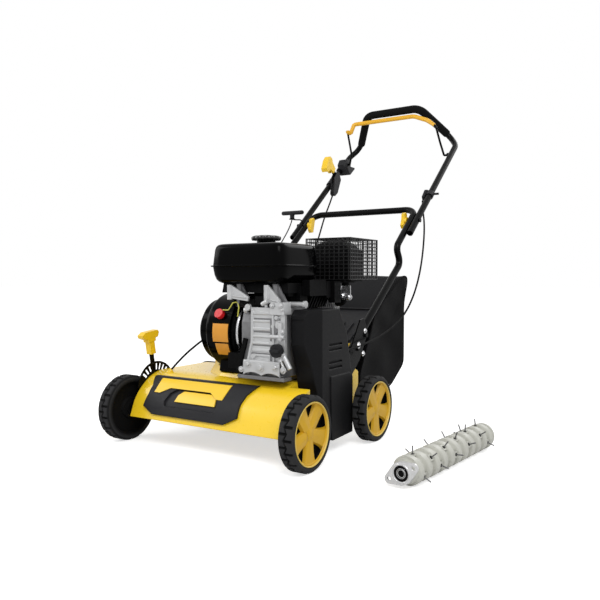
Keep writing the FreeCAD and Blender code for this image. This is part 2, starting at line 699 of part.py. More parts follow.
def drum_shaft():
    """Bored tube with a stub at each end, turned as one."""
    low = "-(size.deck_half - size.deck_wall - 10)"
    tube_low = "-(size.deck_half - size.deck_wall - 22)"
    tube = rod("drum_tube", "size.drum_tube", "size.deck_left - 22 + size.deck_half - size.deck_wall - 22",
               ALONG_X, tube_low, "size.drum_y", "size.drum_z")
    stub = rod("drum_stubs", "10", "size.belt_x + 16 + size.deck_half - size.deck_wall - 10", ALONG_X, low,
               "size.drum_y", "size.drum_z")
    return keep(fuse("drum_welded", tube, stub), "drum_shaft")


def knife_ring():
    """Three-pointed knife with hooked ends."""
    points = []
    for arm in range(3):
        base = arm * 120
        for reach, turn in ((1, 0), (1, 12), (0.86, 20), (0.5, 42), (0.5, 78), (0.84, 104)):
            angle = math.radians(base + turn)
            points.append((size.knife_radius * reach * math.cos(angle),
                           size.knife_radius * reach * math.sin(angle)))
    return points


def drum_knives():
    """Steel knives threaded on the tube, each turned a step from the last."""
    knife = prism(knife_ring(), "x", 0, 2.5)
    knife = knife.cut(Part.makeCylinder(size.drum_tube, 5, Vector(-1, 0, 0), X_AXIS))
    low = -(size.deck_half - size.deck_wall - 30)
    high = size.deck_left - 34
    count = int(size.knife_count)
    blades = []
    for step in range(count):
        blade = knife.copy()
        blade.rotate(Vector(), X_AXIS, 40 * step)
        blade.translate(Vector(low + (high - low) * step / (count - 1), size.drum_y, size.drum_z))
        blades.append(blade)
    return keep(formed("drum_knives", Part.makeCompound(blades)), "drum_knives")


def drum_bearings():
    """Flanged bearing units that close the holes in the housing's side walls."""
    pieces = []
    for x, name in (("-(size.deck_half)", "right"), ("size.deck_left - size.deck_wall", "left")):
        shell = rod("bearing_%s" % name, "26.7", "size.deck_wall + 0", ALONG_X, x, "size.drum_y",
                    "size.drum_z")
        start = "(%s) - 9" % x if name == "left" else "(%s) + size.deck_wall" % x
        flange = rod("bearing_%s_flange" % name, "34", "9", ALONG_X, start, "size.drum_y", "size.drum_z")
        bore = rod("bearing_%s_bore" % name, "10.05", "80", ALONG_X, "(%s) - 30" % x, "size.drum_y",
                   "size.drum_z")
        pieces.append(cut("bearing_%s_unit" % name, fuse("bearing_%s_solid" % name, shell, flange), bore))
    return keep(group("bearing_pair", *pieces), "drum_bearings")


# ---- engine -----------------------------------------------------------------------------

def crankcase():
    """Cast case on two rails: ribbed front, sloped top and, in one with it, the barrel."""
    x0, x1 = size.case_right, size.case_left
    y0, z0, top = size.case_front, size.foot_z, size.case_top
    side = [(y0, z0 + 16), (y0, top - 38), (y0 + 14, top), (y0 + 96, top), (y0 + 150, top - 18),
            (y0 + 196, top - 60), (y0 + 196, z0 + 16)]
    case = prism(side, "x", x0, x1)
    ribs = [Part.makeBox(x1 - x0 - 30, 6, 5, Vector(x0 + 26, y0 - 5, z))
            for z in (z0 + 42, z0 + 62, z0 + 84, z0 + 118, z0 + 150)]
    web = Part.makeBox(8, 10, top - z0 - 66, Vector(x1 - 34, y0 - 8, z0 + 40))
    boss = Part.makeCylinder(11, 16, Vector(x1 - 22, y0 - 9, z0 + 126), Y_AXIS)
    drain = Part.makeCylinder(9, 20, Vector(x1 - 16, y0 - 12, z0 + 22), Y_AXIS)
    rails = [Part.makeBox(x1 - x0 + 16, 34, 9, Vector(x0 - 4, y, z0)) for y in (y0 - 14, y0 + 172)]
    base = Part.makeBox(x1 - x0, 196, 10, Vector(x0, y0, z0 + 8))
    neck = Part.makeCylinder(14, 14, Vector(x1 - 8, y0 - 10, z0 + 76), Y_AXIS)
    case = case.fuse(ribs + rails + [web, boss, drain, base, neck, cylinder_block()]
                     + tank_brackets())
    case = case.cut(Part.makeCylinder(13, 300, Vector(x0 - 50, size.drum_y, size.crank_z), X_AXIS))
    return keep(formed("crankcase", case.removeSplitter()), "crankcase")


def crankcase_cover():
    """Side cover round the output shaft, with the stud that the belt's idler arm turns on."""
    x1 = size.case_left
    y, z = size.drum_y, size.crank_z
    ring = []
    for turn in range(0, 360, 20):
        reach = 84 + 10 * math.cos(math.radians(2 * turn))
        ring.append((y + 14 + reach * math.cos(math.radians(turn)),
                     z - 14 + reach * math.sin(math.radians(turn))))
    cover = prism(ring, "x", x1 + 0.2, x1 + 8.8)
    stud = Part.makeCylinder(5, size.belt_x - 12 - x1 - 4, Vector(x1 + 4, 100, 272), X_AXIS)
    cover = cover.fuse(stud).cut(Part.makeCylinder(13, 20, Vector(x1 - 2, y, z), X_AXIS))
    return keep(formed("crankcase_cover", cover), "crankcase_cover")


def leaning(shape):
    """Turns a part made along +y at the crankshaft up to the cylinder's slope, and seats it."""
    shape.rotate(Vector(), X_AXIS, 25)
    shape.translate(Vector((size.case_left + size.case_right) / 2, size.drum_y, size.crank_z))
    return shape


def cylinder_block():
    """Finned barrel that leans up to the rear."""
    core = Part.makeCylinder(41, 106, Vector(0, 60, 0), Y_AXIS)
    fins = [Part.makeBox(112, 3, 96, Vector(-56, y, -48)) for y in range(92, 166, 10)]
    return leaning(core.fuse(fins))


def cylinder_head():
    """Finned head with the rocker cover on its end."""
    core = Part.makeBox(104, 34, 92, Vector(-52, 166.3, -46))
    fins = [Part.makeBox(118, 3, 104, Vector(-59, y, -52)) for y in (170, 179, 188)]
    rocker = prism([(-46, -30), (-38, -38), (38, -38), (46, -30), (46, 30), (38, 38), (-38, 38), (-46, 30)],
                   "y", 200.3, 218)
    plug = Part.makeCylinder(7, 26, Vector(-30, 190, 46), Z_AXIS)
    cap = Part.makeCylinder(10, 22, Vector(-30, 190, 66), Z_AXIS)
    keep(formed("spark_plug", leaning(plug.fuse(cap))), "spark_plug")
    head = core.fuse(fins + [rocker]).cut(Part.makeCylinder(7.2, 30, Vector(-30, 190, 30), Z_AXIS))
    return keep(formed("cylinder_head", leaning(head)), "cylinder_head")


def blower_housing():
    """Fan casing: a drum on the crankshaft's line with a flat foot towards the deck."""
    y, z = size.drum_y, size.crank_z
    low, high = size.blower_face, size.blower_back
    drum = Part.makeCylinder(size.blower_radius, high - low, Vector(low, y, z), X_AXIS)
    edges = [edge for edge in drum.Edges if edge.Length > 300 and abs(edge.CenterOfMass.x - low) < 0.1]
    drum = drum.makeFillet(14, edges)
    foot = prism([(y - 74, size.foot_z + 3), (y - 62, z - 40), (y + 62, z - 40), (y + 74, size.foot_z + 3)],
                 "x", low + 30, high)
    scroll = prism([(y + 20, z + 60), (y + 118, z + 74), (y + 118, z + 20), (y + 40, z - 10)], "x",
                   low + 14, high)
    casing = drum.fuse([foot, scroll])
    hollow = Part.makeCylinder(size.blower_radius - 3, high - low - 13, Vector(low + 14, y, z), X_AXIS)
    front_room = Part.makeCylinder(size.blower_radius - 12, 12, Vector(low + 3, y, z), X_AXIS)
    intake = Part.makeCylinder(size.recoil_radius - 12, 10, Vector(low - 4, y, z), X_AXIS)
    return keep(formed("blower_housing", casing.cut([hollow, front_room, intake])), "blower_housing")


def flywheel():
    """Finned flywheel on the crankshaft inside the casing."""
    y, z = size.drum_y, size.crank_z
    low = size.blower_face
    disc = Part.makeCylinder(90, 30, Vector(low + 34, y, z), X_AXIS)
    blades = []
    for step in range(12):
        blade = Part.makeBox(22, 3, 34, Vector(low + 13, y - 1.5, z + 50))
        blade.rotate(Vector(0, y, z), X_AXIS, 30 * step)
        blades.append(blade)
    shaft = Part.makeCylinder(12, size.belt_x + 14 - low - 20, Vector(low + 20, y, z), X_AXIS)
    return keep(formed("crankshaft", disc.fuse(blades + [shaft])), "crankshaft")


def fan_back():
    """Back plate of the fan casing, with the hub and web that hold it to the crankcase."""
    y, z = size.drum_y, size.crank_z
    low = size.blower_back + 0.3
    disc = Part.makeCylinder(size.blower_radius - 8, 7, Vector(low, y, z), X_AXIS)
    hub = Part.makeCylinder(60, size.case_right - low - 7, Vector(low + 7, y, z), X_AXIS)
    web = prism([(y - 108, z - 91), (y + 80, z - 91), (y + 80, z - 50), (y - 108, z - 50)], "x", low,
                size.case_right)
    whole = disc.fuse([hub, web])
    whole = whole.cut(Part.makeCylinder(13, 80, Vector(low - 5, y, z), X_AXIS))
    return keep(formed("fan_back_plate", whole.removeSplitter()), "fan_back_plate")


def recoil_cover():
    """Dished starter cover with slots round its face and a rope outlet at the top."""
    y, z = size.drum_y, size.crank_z
    low, seat = size.recoil_face, size.blower_face - 0.3
    dome = Part.makeCone(size.recoil_radius - 16, size.recoil_radius, 16, Vector(low, y, z), X_AXIS)
    dome = dome.fuse(Part.makeCylinder(size.recoil_radius, seat - low - 16, Vector(low + 16, y, z), X_AXIS))
    outlet = Part.makeCylinder(9, 18, Vector(low + 26, y + 74, z + 44), Vector(0, 0.6, 0.8))
    dome = dome.fuse(outlet)
    hollow = Part.makeCylinder(size.recoil_radius - 3, seat - low - 19 + 1, Vector(low + 19, y, z), X_AXIS)
    slots = []
    for step in range(20):
        slot = Part.makeBox(40, 5, 26, Vector(low - 5, y - 2.5, z + 32))
        slot.rotate(Vector(0, y, z), X_AXIS, 18 * step)
        slots.append(slot)
    cup = Part.makeCylinder(size.recoil_radius - 22, 16, Vector(low + 3, y, z), X_AXIS)
    return keep(formed("recoil_cover", dome.cut(slots + [hollow, cup])), "recoil_cover")


def rounded(x0, x1, y0, y1, corner, z):
    """A rectangle with round corners as a wire at height z."""
    points = [Vector(x0, (y0 + y1) / 2, z), Vector(x0, y0, z), Vector(x1, y0, z), Vector(x1, y1, z),
              Vector(x0, y1, z), Vector(x0, (y0 + y1) / 2, z)]
    return path_wire(points, (corner, corner, corner, corner))


def fuel_tank():
    """Two pressed halves: each a stack of round-cornered sections, joined at a rolled seam."""
    def stack(rows):
        wires = [rounded(size.tank_right + inset, size.tank_left - inset, size.tank_front + inset,
                         size.tank_rear - inset, corner, z) for inset, corner, z in rows]
        return Part.makeLoft(wires, True, True)

    low, seam, top = size.tank_bottom, size.tank_seam, size.tank_top
    lower = stack(((26, 16, low), (9, 20, low + 5), (2, 23, low + 15), (0, 24, seam)))
    upper = stack(((0, 24, seam), (3, 24, top - 14), (8, 26, top - 5.5), (16, 26, top - 2), (42, 22, top)))
    seam_ring = stack(((-5, 26, seam - 1.5), (-5, 26, seam + 1.5)))
    neck = Part.makeCylinder(24, 8, Vector(size.cap_x, size.cap_y, top - 2), Z_AXIS)
    tank = lower.fuse([upper, seam_ring, neck])
    return keep(formed("fuel_tank", tank.removeSplitter()), "fuel_tank")


def fuel_cap():
    """Knurled cap with a raised top."""
    base = size.tank_top + 6.3
    skirt = Part.makeCylinder(size.cap_radius, 10, Vector(size.cap_x, size.cap_y, base), Z_AXIS)
    crown = Part.makeCone(size.cap_radius - 1, size.cap_radius - 8, 5,
                          Vector(size.cap_x, size.cap_y, base + 10), Z_AXIS)
    notches = []
    for step in range(12):
        notch = Part.makeCylinder(4.5, 14, Vector(size.cap_x + size.cap_radius + 2, size.cap_y, base - 1),
                                  Z_AXIS)
        notch.rotate(Vector(size.cap_x, size.cap_y, 0), Z_AXIS, 30 * step)
        notches.append(notch)
    return keep(formed("fuel_cap", skirt.fuse(crown).cut(notches)), "fuel_cap")


def tank_brackets():
    """Cast struts between the crankcase and the tank."""
    pieces = []
    low, high = size.case_top - 1, size.tank_bottom
    for x in (38, 152):
        web = prism([(x - 4, low), (x + 40, low), (x + 8, high), (x - 4, high)], "y", 84, 92)
        pieces.append(web.fuse(Part.makeCylinder(8, high - low, Vector(x, 84, low), Z_AXIS)))
    return pieces


def muffler():
    """Silencer can with the pipe from the head and the studs that carry its guard."""
    x0, x1 = size.guard_right + 12, size.guard_left - 12
    y0, y1 = size.guard_front + 18, size.guard_rear - 68
    z0, z1 = size.guard_bottom - 5, size.guard_top - 32
    can = Part.makeBox(x1 - x0, y1 - y0, z1 - z0, Vector(x0, y0, z0))
    can = can.makeFillet(22, [edge for edge in can.Edges if abs(edge.tangentAt(0).x) > 0.9])
    studs = [Part.makeCylinder(5, x1 - x0 + 19.6, Vector(x0 - 9.8, y, size.guard_bottom + 66), X_AXIS)
             for y in (y0 + 26, y1 - 26)]
    port = Vector((size.case_left + size.case_right) / 2 + 59.2, 341, 382)
    elbow = carried(path_steps([port, port + Vector(26, 0, 0), port + Vector(26, 10, 88)], (18,))[0], 11)
    return keep(formed("muffler", can.fuse(studs + [elbow])), "muffler")


def muffler_guard():
    """Perforated sheet box round the silencer, open below."""
    x0, x1 = size.guard_right, size.guard_left
    y0, y1 = size.guard_front, size.guard_rear
    z0, z1 = size.guard_bottom, size.guard_top
    box = Part.makeBox(x1 - x0, y1 - y0, z1 - z0, Vector(x0, y0, z0))
    top_edges = [edge for edge in box.Edges if edge.CenterOfMass.z > z1 - 0.1]
    box = box.makeFillet(12, top_edges)
    room = Part.makeBox(x1 - x0 - 4, y1 - y0 - 4, z1 - z0 - 2 + 5, Vector(x0 + 2, y0 + 2, z0 - 5))
    room = room.makeFillet(11, [edge for edge in room.Edges if edge.CenterOfMass.z > z1 - 2.1])
    holes = []
    across = int((x1 - x0 - 12) // 26)
    along = int((y1 - y0 - 14) // 31)
    for row in range(5):
        z = z0 + 12 + row * 19
        holes += [Part.makeBox(x1 - x0 + 20, 25, 13, Vector(x0 - 10, y0 + 14 + 31 * step, z))
                  for step in range(along)]
        holes += [Part.makeBox(20, y1 - y0 + 20, 13, Vector(x0 + 12 + 26 * step, y0 - 10, z))
                  for step in range(across)]
    for step in range(along):
        holes += [Part.makeBox(20, 25, 30, Vector(x0 + 12 + 26 * side, y0 + 14 + 31 * step, z1 - 15))
                  for side in range(across)]
    return keep(formed("muffler_guard", box.cut([room] + holes)), "muffler_guard")


def air_cleaner():
    """Filter box on the carburettor, with a rounded lid and its knob."""
    x0, x1, y0, y1, z0, z1 = -66, 66, 262, 392, 436, 536
    box = Part.makeBox(x1 - x0, y1 - y0, z1 - z0, Vector(x0, y0, z0))
    box = box.makeFillet(18, [edge for edge in box.Edges if edge.CenterOfMass.z > z0 + 1])
    knob = Part.makeCylinder(12, 10, Vector(0, (y0 + y1) / 2, z1 - 1), Z_AXIS)
    snout = Part.makeBox(60, 80, 40, Vector(-30, 280, 397))
    return keep(formed("air_cleaner", box.fuse([knob, snout])), "air_cleaner")


def carburettor():
    """Body with a float bowl, between the filter and the head."""
    body = Part.makeBox(52, 54, 44, Vector(-26, 300, 352.6))
    bowl = Part.makeCylinder(20, 26, Vector(0, 327, 327), Z_AXIS)
    joint = Part.makeBox(46.7, 30, 30, Vector(20, 318, 358))
    return keep(formed("carburettor", body.fuse([bowl, joint])), "carburettor")


def small_caps():
    """Oil filler cap and the switch knob on the fan casing."""
    x, z = size.case_left - 8, size.foot_z + 76
    seat = size.case_front - 10.3
    cap = Part.makeCylinder(17, 12, Vector(x, seat - 12, z), Y_AXIS)
    grip = Part.makeBox(26, 8, 7, Vector(x - 13, seat - 20, z - 3.5))
    keep(formed("oil_cap", cap.fuse(grip)), "oil_cap")
    y, z = size.drum_y, size.crank_z
    lean = math.radians(27)
    reach = size.blower_radius + 0.3
    way = Vector(0, -math.cos(lean), math.sin(lean))
    seat = Vector(-24, y, z) + way * reach
    knob = Part.makeCylinder(13, 12, seat, way)
    return keep(formed("ignition_knob", knob), "ignition_knob")


# ---- handle -----------------------------------------------------------------------------

def slope_point(reach):
    """A point on the handle's slope, reach along it from the fold pivot, as (y, z)."""
    lean = math.radians(39.2)
    return size.fold_y + reach * math.cos(lean), size.fold_z + reach * math.sin(lean)


def lower_handle():
    """Bent tube: up from the brackets, a kink, then the slope to its crossbar."""
    x = size.lower_tube_x
    knee_y, knee_z = slope_point(-152)
    end_y, end_z = slope_point(67)
    half = [(382, 244), (728, 501), (knee_y, knee_z), (end_y, end_z)]
    right = [Vector(-x, y, z) for y, z in half]
    left = [Vector(x, y, z) for y, z in reversed(half)]
    radii = (24, 24, 42, 42, 24, 24)
    tube = carried(path_steps(right + left, radii)[0], size.tube_radius, size.tube_radius - 1.6)
    holes = [Part.makeCylinder(radius, 600, Vector(-300, y, z), X_AXIS)
             for radius, y, z in ((size.fold_bolt, size.fold_y, size.fold_z), (4.05, 388, 249),
                                  (4.05, 436, 284))]
    return keep(formed("lower_handle", tube.cut(holes).fuse(rope_guide())), "lower_handle")


def loop_points():
    """Centre line of the upper handle, from its right end round the loop to its left end."""
    x = size.upper_tube_x
    foot_y, foot_z = slope_point(-76)
    top_y, top_z = slope_point(505)
    half = [Vector(-x, foot_y, foot_z), Vector(-x, top_y, top_z), Vector(-200, 1240, 1008),
            Vector(-112, 1126, 1110)]
    return half + [Vector(-point.x, point.y, point.z) for point in reversed(half)]


LOOP_BENDS = (60, 45, 50, 50, 45, 60)


def upper_handle():
    tube = carried(path_steps(loop_points(), LOOP_BENDS)[0], size.tube_radius, size.tube_radius - 1.6)
    hole = Part.makeCylinder(size.fold_bolt + 0.05, 600, Vector(-300, size.fold_y, size.fold_z), X_AXIS)
    return keep(formed("upper_handle", tube.cut(hole).fuse(bail_ears())), "upper_handle")


def foam_grip():
    """Foam sleeve over the loop, from just past the top bend on one side to the other."""
    start = loop_points()[2].z + 6
    steps = [step for step in path_steps(loop_points(), LOOP_BENDS)[0] if min(step[0].z, step[1].z) > start]
    return keep(formed("foam_grip", carried(steps, size.grip_radius, size.tube_radius + 0.05)), "foam_grip")


def wing_knob(side, label):
    """Two-winged nut that turns on the fold bolt, against the inside of the lower tube."""
    y, z = size.fold_y, size.fold_z
    x = size.lower_tube_x - size.tube_radius - 0.3
    hub = Part.makeCone(9, 12, 13, Vector(x - 13, y, z), X_AXIS)
    ring = [(-29, 2), (-20, 13), (-6, 10), (6, 10), (20, 13), (29, 2), (24, -9), (8, -9), (-8, -9),
            (-24, -9)]
    lean = math.radians(75)
    corners = [(y + u * math.cos(lean) - v * math.sin(lean), z + u * math.sin(lean) + v * math.cos(lean))
               for u, v in ring]
    wings = prism(corners, "x", x - 19, x - 7)
    bore = Part.makeCylinder(size.fold_bolt + 0.05, 14, Vector(x - 13, y, z), X_AXIS)
    knob = hub.fuse(wings).cut(bore)
    return keep(formed(label, knob if side > 0 else mirrored(knob)), label)


def fold_bolt():
    """Bolt through both tubes, the handle's fold pivot, with its head outside the upper tube."""
    start = size.lower_tube_x - size.tube_radius - 12
    seat = size.upper_tube_x + size.tube_radius + 0.3
    shank = Part.makeCylinder(size.fold_bolt, seat + 1 - start,
                              Vector(start, size.fold_y, size.fold_z), X_AXIS)
    head = Part.makeCylinder(8, 3, Vector(seat, size.fold_y, size.fold_z), X_AXIS)
    return shank.fuse(head)


def operator_bail():
    """Sprung bail under the grip: a wire bow pivoted in the tubes, and the moulded sleeve over
    its cross bar, which hooks down at the right end and droops at the left."""
    x = size.bail_x
    y, z = size.bail_pivot_y, size.bail_pivot_z
    points = [Vector(-x, y, z), Vector(-x + 12, y - 6, z + 42), Vector(-x + 21, y - 66, z + 142),
              Vector(-x + 44, y - 32, z + 158), Vector(92, y - 30, z + 158), Vector(150, y - 34, z + 134),
              Vector(x - 16, y - 48, z + 104), Vector(x - 8, y - 22, z + 46), Vector(x, y, z)]
    steps = path_steps(points, (60, 14, 14, 60, 60, 14, 60))[0]
    bow = carried(steps, size.bail_rod)
    pin = Part.makeCylinder(size.bail_rod, size.upper_tube_x - size.tube_radius - 0.6 - x,
                            Vector(x, y, z), X_AXIS)
    ends = [Part.makeSphere(size.bail_rod, Vector(side * x, y, z)) for side in (-1, 1)]
    bow = bow.fuse([pin, mirrored(pin)] + ends)
    covered = [step for step in steps if max(step[0].z, step[1].z) > z + 108]
    sleeve = carried(covered, 8.5, size.bail_rod)
    return keep(formed("operator_bail", Part.makeCompound([bow, sleeve])), "operator_bail")


def bail_ears():
    """Ears welded inside the upper tubes, which the bail's ends turn in."""
    y, z = size.bail_pivot_y, size.bail_pivot_z
    x = size.upper_tube_x - size.tube_radius
    ear = Part.makeCylinder(8, 7, Vector(x - 4.6, y, z), X_AXIS)
    ear = ear.cut(Part.makeCylinder(size.bail_rod + 0.06, 4.4, Vector(x - 4.7, y, z), X_AXIS))
    return [ear, mirrored(ear)]


def sloped(shape, reach):
    """Moves a part made along +y at the origin onto the right upper tube's centre line."""
    shape.rotate(Vector(), X_AXIS, 39.2)
    y, z = slope_point(reach)
    shape.translate(Vector(-size.upper_tube_x, y, z))
    return shape


def switch_box():
    """Two-part bail lock housing clamped on the right tube."""
    radius = size.tube_radius
    ring = [(-26, -24), (22, -26), (32, -6), (26, 22), (4, 32), (-22, 24), (-30, 2)]
    box = prism(ring, "x", -8, 38)
    collar = Part.makeCylinder(radius + 5, 66, Vector(0, -34, 0), Y_AXIS)
    clamp = Part.makeCylinder(radius + 0.05, 80, Vector(0, -40, 0), Y_AXIS)
    box = sloped(box.fuse(collar).cut(clamp), size.box_reach)
    pivot = Vector(-size.bail_x, size.bail_pivot_y, size.bail_pivot_z)
    room = Part.makeCylinder(8.3, 20, pivot - X_AXIS * 22, X_AXIS)
    slot = Part.makeBox(24, 120, 90, pivot - Vector(6.5, 90, 8.3))
    return keep(formed("switch_box", box.cut([room, slot])), "switch_box")


def drive_lever():
    """Lift lever in its bracket inside the right tube: bracket, lever and knob. The bracket's
    two plates reach down along the tube and are joined at both ends."""
    radius = size.tube_radius
    collar = Part.makeCylinder(radius + 4, 52, Vector(0, -30, 0), Y_AXIS)
    ring = [(-18, 30), (14, 36), (28, 24), (20, -6), (-36, -32), (-62, -30), (-66, -16), (-40, 6)]
    plates = [prism(ring, "x", low, low + 3) for low in (12, 26)]
    bridges = [Part.makeBox(16, 30, 7, Vector(12.5, -22, 5)),
               Part.makeBox(16, 12, 12, Vector(12.5, -62, -29))]
    bracket = collar.fuse(plates + bridges)
    bracket = bracket.cut(Part.makeCylinder(radius + 0.05, 80, Vector(0, -40, 0), Y_AXIS))
    pivot = Part.makeCylinder(4, 16, Vector(12.5, 6, 24), X_AXIS)
    bracket = sloped(bracket.fuse(pivot), size.lever_reach)
    keep(formed("tube_clips", Part.makeCompound([bracket, cable_anchor()])), "tube_clips")
    bar = prism([(-4, 24), (16, 24), (12, 84), (-2, 84)], "x", 18, 23)
    lever = bar.fuse(Part.makeCylinder(10, 5, Vector(18, 6, 24), X_AXIS))
    lever = lever.cut(Part.makeCylinder(4.05, 20, Vector(12, 6, 24), X_AXIS))
    knob = prism([(-8, 56), (14, 56), (20, 86), (30, 98), (27, 114), (4, 118), (-32, 112), (-38, 98),
                  (-26, 88), (-12, 84)], "x", 8, 33)
    knob = knob.cut(Part.makeBox(5.2, 60, 42, Vector(17.9, -30, 42.2)))
    for shape in (lever, knob):
        shape.rotate(Vector(0, 6, 24), X_AXIS, 18)
    keep(formed("lift_lever", sloped(lever, size.lever_reach)), "lift_lever")
    return keep(formed("lift_knob", sloped(knob, size.lever_reach)), "lift_knob")


def cable_anchor():
    """Clip on the left tube that holds the clutch cable's end inside and a spring peg outside."""
    radius = size.tube_radius
    collar = Part.makeCylinder(radius + 3, 22, Vector(0, -11, 0), Y_AXIS)
    horn = prism([(-28, -9), (22, -9), (26, 4), (14, 14), (-24, 10)], "x", 12, 21)
    peg = Part.makeCylinder(4, 20, Vector(-31, 4, 0), X_AXIS)
    clip = collar.fuse([horn, peg]).cut(Part.makeCylinder(radius + 0.05, 60, Vector(0, -30, 0), Y_AXIS))
    return mirrored(sloped(clip, size.anchor_reach))


def starter_grip():
    """Tee grip of the recoil starter, standing in its guide."""
    spot = Vector(-218, 729, 689.5)
    bar = Part.makeCylinder(7.5, 80, Vector(-38, 0, 0), X_AXIS)
    bar = bar.fuse([Part.makeSphere(7.5, Vector(-38, 0, 0)), Part.makeSphere(7.5, Vector(42, 0, 0))])
    neck = Part.makeCone(8, 9, 20, Vector(0, 0, -20), Z_AXIS)
    grip = bar.fuse(neck)
    grip.translate(spot)
    return keep(formed("starter_grip", grip), "starter_grip")


def rope_guide():
    """Wire eye on the right lower tube that the starter grip sits on."""
    y, z = slope_point(-25)
    points = [Vector(-size.lower_tube_x, y, z + 10.8), Vector(-208, y - 14, z + 36), Vector(-214, 752, 666),
              Vector(-218, 738, 666)]
    eye = Part.makeTorus(9, 2.2, Vector(-218, 729, 667), Z_AXIS)
    return carried(path_steps(points)[0], 2.2).fuse(eye)


# ---- cables and rope --------------------------------------------------------------------

def cables():
    """Cables the machine holds all the way, each along its own route."""
    lift = [Vector(-212, 1017, 783), Vector(-207, 985, 746), Vector(-199, 930, 688), Vector(-188, 872, 612),
            Vector(-178, 800, 520), Vector(-172, 690, 436), Vector(-168, 570, 374), Vector(-164, 450, 332),
            Vector(-160, 330, 308), Vector(-162, 240, 300), Vector(-178, 168, 262), Vector(-200, 118, 222),
            Vector(-214, 92, 190)]
    clutch = [Vector(216, 905, 724), Vector(220, 899, 690), Vector(228, 896, 640), Vector(231, 880, 560),
              Vector(234, 845, 476), Vector(240, 780, 398), Vector(244, 690, 332), Vector(246, 570, 292),
              Vector(246, 470, 272), Vector(250, 380, 262), Vector(250, 320, 256), Vector(246, 270, 252)]
    both = [cable("lift cable", lift, 3), cable("clutch cable", clutch, 3)]
    keep(formed("control_cables", Part.makeCompound(both)), "control_cables")
    rope = [Vector(-218, 729, 668.3), Vector(-216, 716, 640), Vector(-196, 610, 560),
            Vector(-160, 470, 462), Vector(-112, 300, 404), Vector(-92, 262, 364)]
    return keep(formed("starter_rope", cable("starter rope", rope, 2)), "starter_rope")


# ---- flap and bag -----------------------------------------------------------------------

def flap_frame():
    """The flap's length and slope, from its hinge to the bag's top edge."""
    return math.hypot(582 - size.hinge_y, 348 - size.hinge_z), math.atan2(348 - size.hinge_z,
                                                                         582 - size.hinge_y)


def rear_flap():
    """Hinged deflector with ribs near its rolled hinge and side lips."""
    reach, lean = flap_frame()
    half = size.chute_half - 4
    sheet = Part.makeBox(2 * half, reach - 6, 3, Vector(-half, 6, 1))
    roll = Part.makeCylinder(8, 2 * half, Vector(-half, 0, 0), X_AXIS)
    ribs = [Part.makeBox(5, reach * 0.5, 4, Vector(x, 16, 4)) for x in range(-180, 190, 30)]
    lip = Part.makeBox(2 * half, 4, 8, Vector(-half, reach - 4, 1))
    flap = sheet.fuse(ribs + [roll, lip]).cut(Part.makeCylinder(4.05, 500, Vector(-250, 0, 0), X_AXIS))
    flap.rotate(Vector(), X_AXIS, math.degrees(lean))
    flap.translate(Vector(0, size.hinge_y, size.hinge_z))
    return keep(formed("rear_flap", flap), "rear_flap")


def hinge_rod():
    """Rod that the flap turns on, held by an ear on the chute at each end."""
    length = 2 * size.chute_half + 4
    bar = Part.makeCylinder(4, length, Vector(-length / 2, size.hinge_y, size.hinge_z), X_AXIS)
    ear = prism([(size.hinge_y - 34, size.hinge_z - 42), (size.hinge_y + 10, size.hinge_z - 34),
                 (size.hinge_y + 9, size.hinge_z + 9), (size.hinge_y - 9, size.hinge_z + 9)], "x",
                size.chute_half - 3, size.chute_half)
    bare = prism([(size.hinge_y - 60, size.deck_top - 60), (size.hinge_y - 60, size.hinge_z - 53.6),
                  (size.hinge_y - 4.3, size.hinge_z - 8.6), (size.hinge_y + 6, size.hinge_z - 30),
                  (size.hinge_y + 60, size.deck_top - 60)], "x", size.chute_half - 6, size.chute_half + 3)
    ear = ear.cut(bare)
    return bar.fuse([ear, mirrored(ear)])


def bag_profile(off):
    """Side view of the grass bag, drawn in by off."""
    return [(463 + off, 152 + off), (574 + off * 0.6, 344.3 - off), (775, 455 - off),
            (822 - off, 458 - off), (786 - off, 366), (788 - off, 162 + off * 0.4),
            (690 - off * 0.4, 100 + off), (560, 78 + off), (480 + off, 104 + off)]


def grass_bag():
    """Closed cloth bag with its mouth towards the chute."""
    half = size.bag_half
    wall = size.bag_wall
    outer = prism(bag_profile(0), "x", -half, half)
    inner = prism(bag_profile(wall), "x", -half + wall, half - wall)
    mouth = prism([(440, 170), (500, 160), (590, 310), (560, 330), (440, 330)], "x", -half + 12, half - 12)
    return keep(formed("grass_bag", outer.cut([inner, mouth])), "grass_bag")


def bag_frame():
    """Wire hoop inside the mouth that the bag hangs by."""
    half = size.bag_half - size.bag_wall - 3.3
    points = [Vector(-60, 486, 172), Vector(-half, 486, 172), Vector(-half, 589, 326),
              Vector(half, 589, 326), Vector(half, 486, 172), Vector(-60.01, 486, 172)]
    return keep(formed("bag_frame", carried(path_steps(points, (20, 20, 20, 20))[0], 3)), "bag_frame")


# ---- loose roller -----------------------------------------------------------------------

def lay_roller(shape):
    """Lays a part made along +y about the origin on the ground beside the machine."""
    shape.rotate(Vector(), Z_AXIS, -size.roller_turn)
    shape.translate(Vector(size.roller_x, size.roller_y, size.roller_radius + 0.5))
    return shape


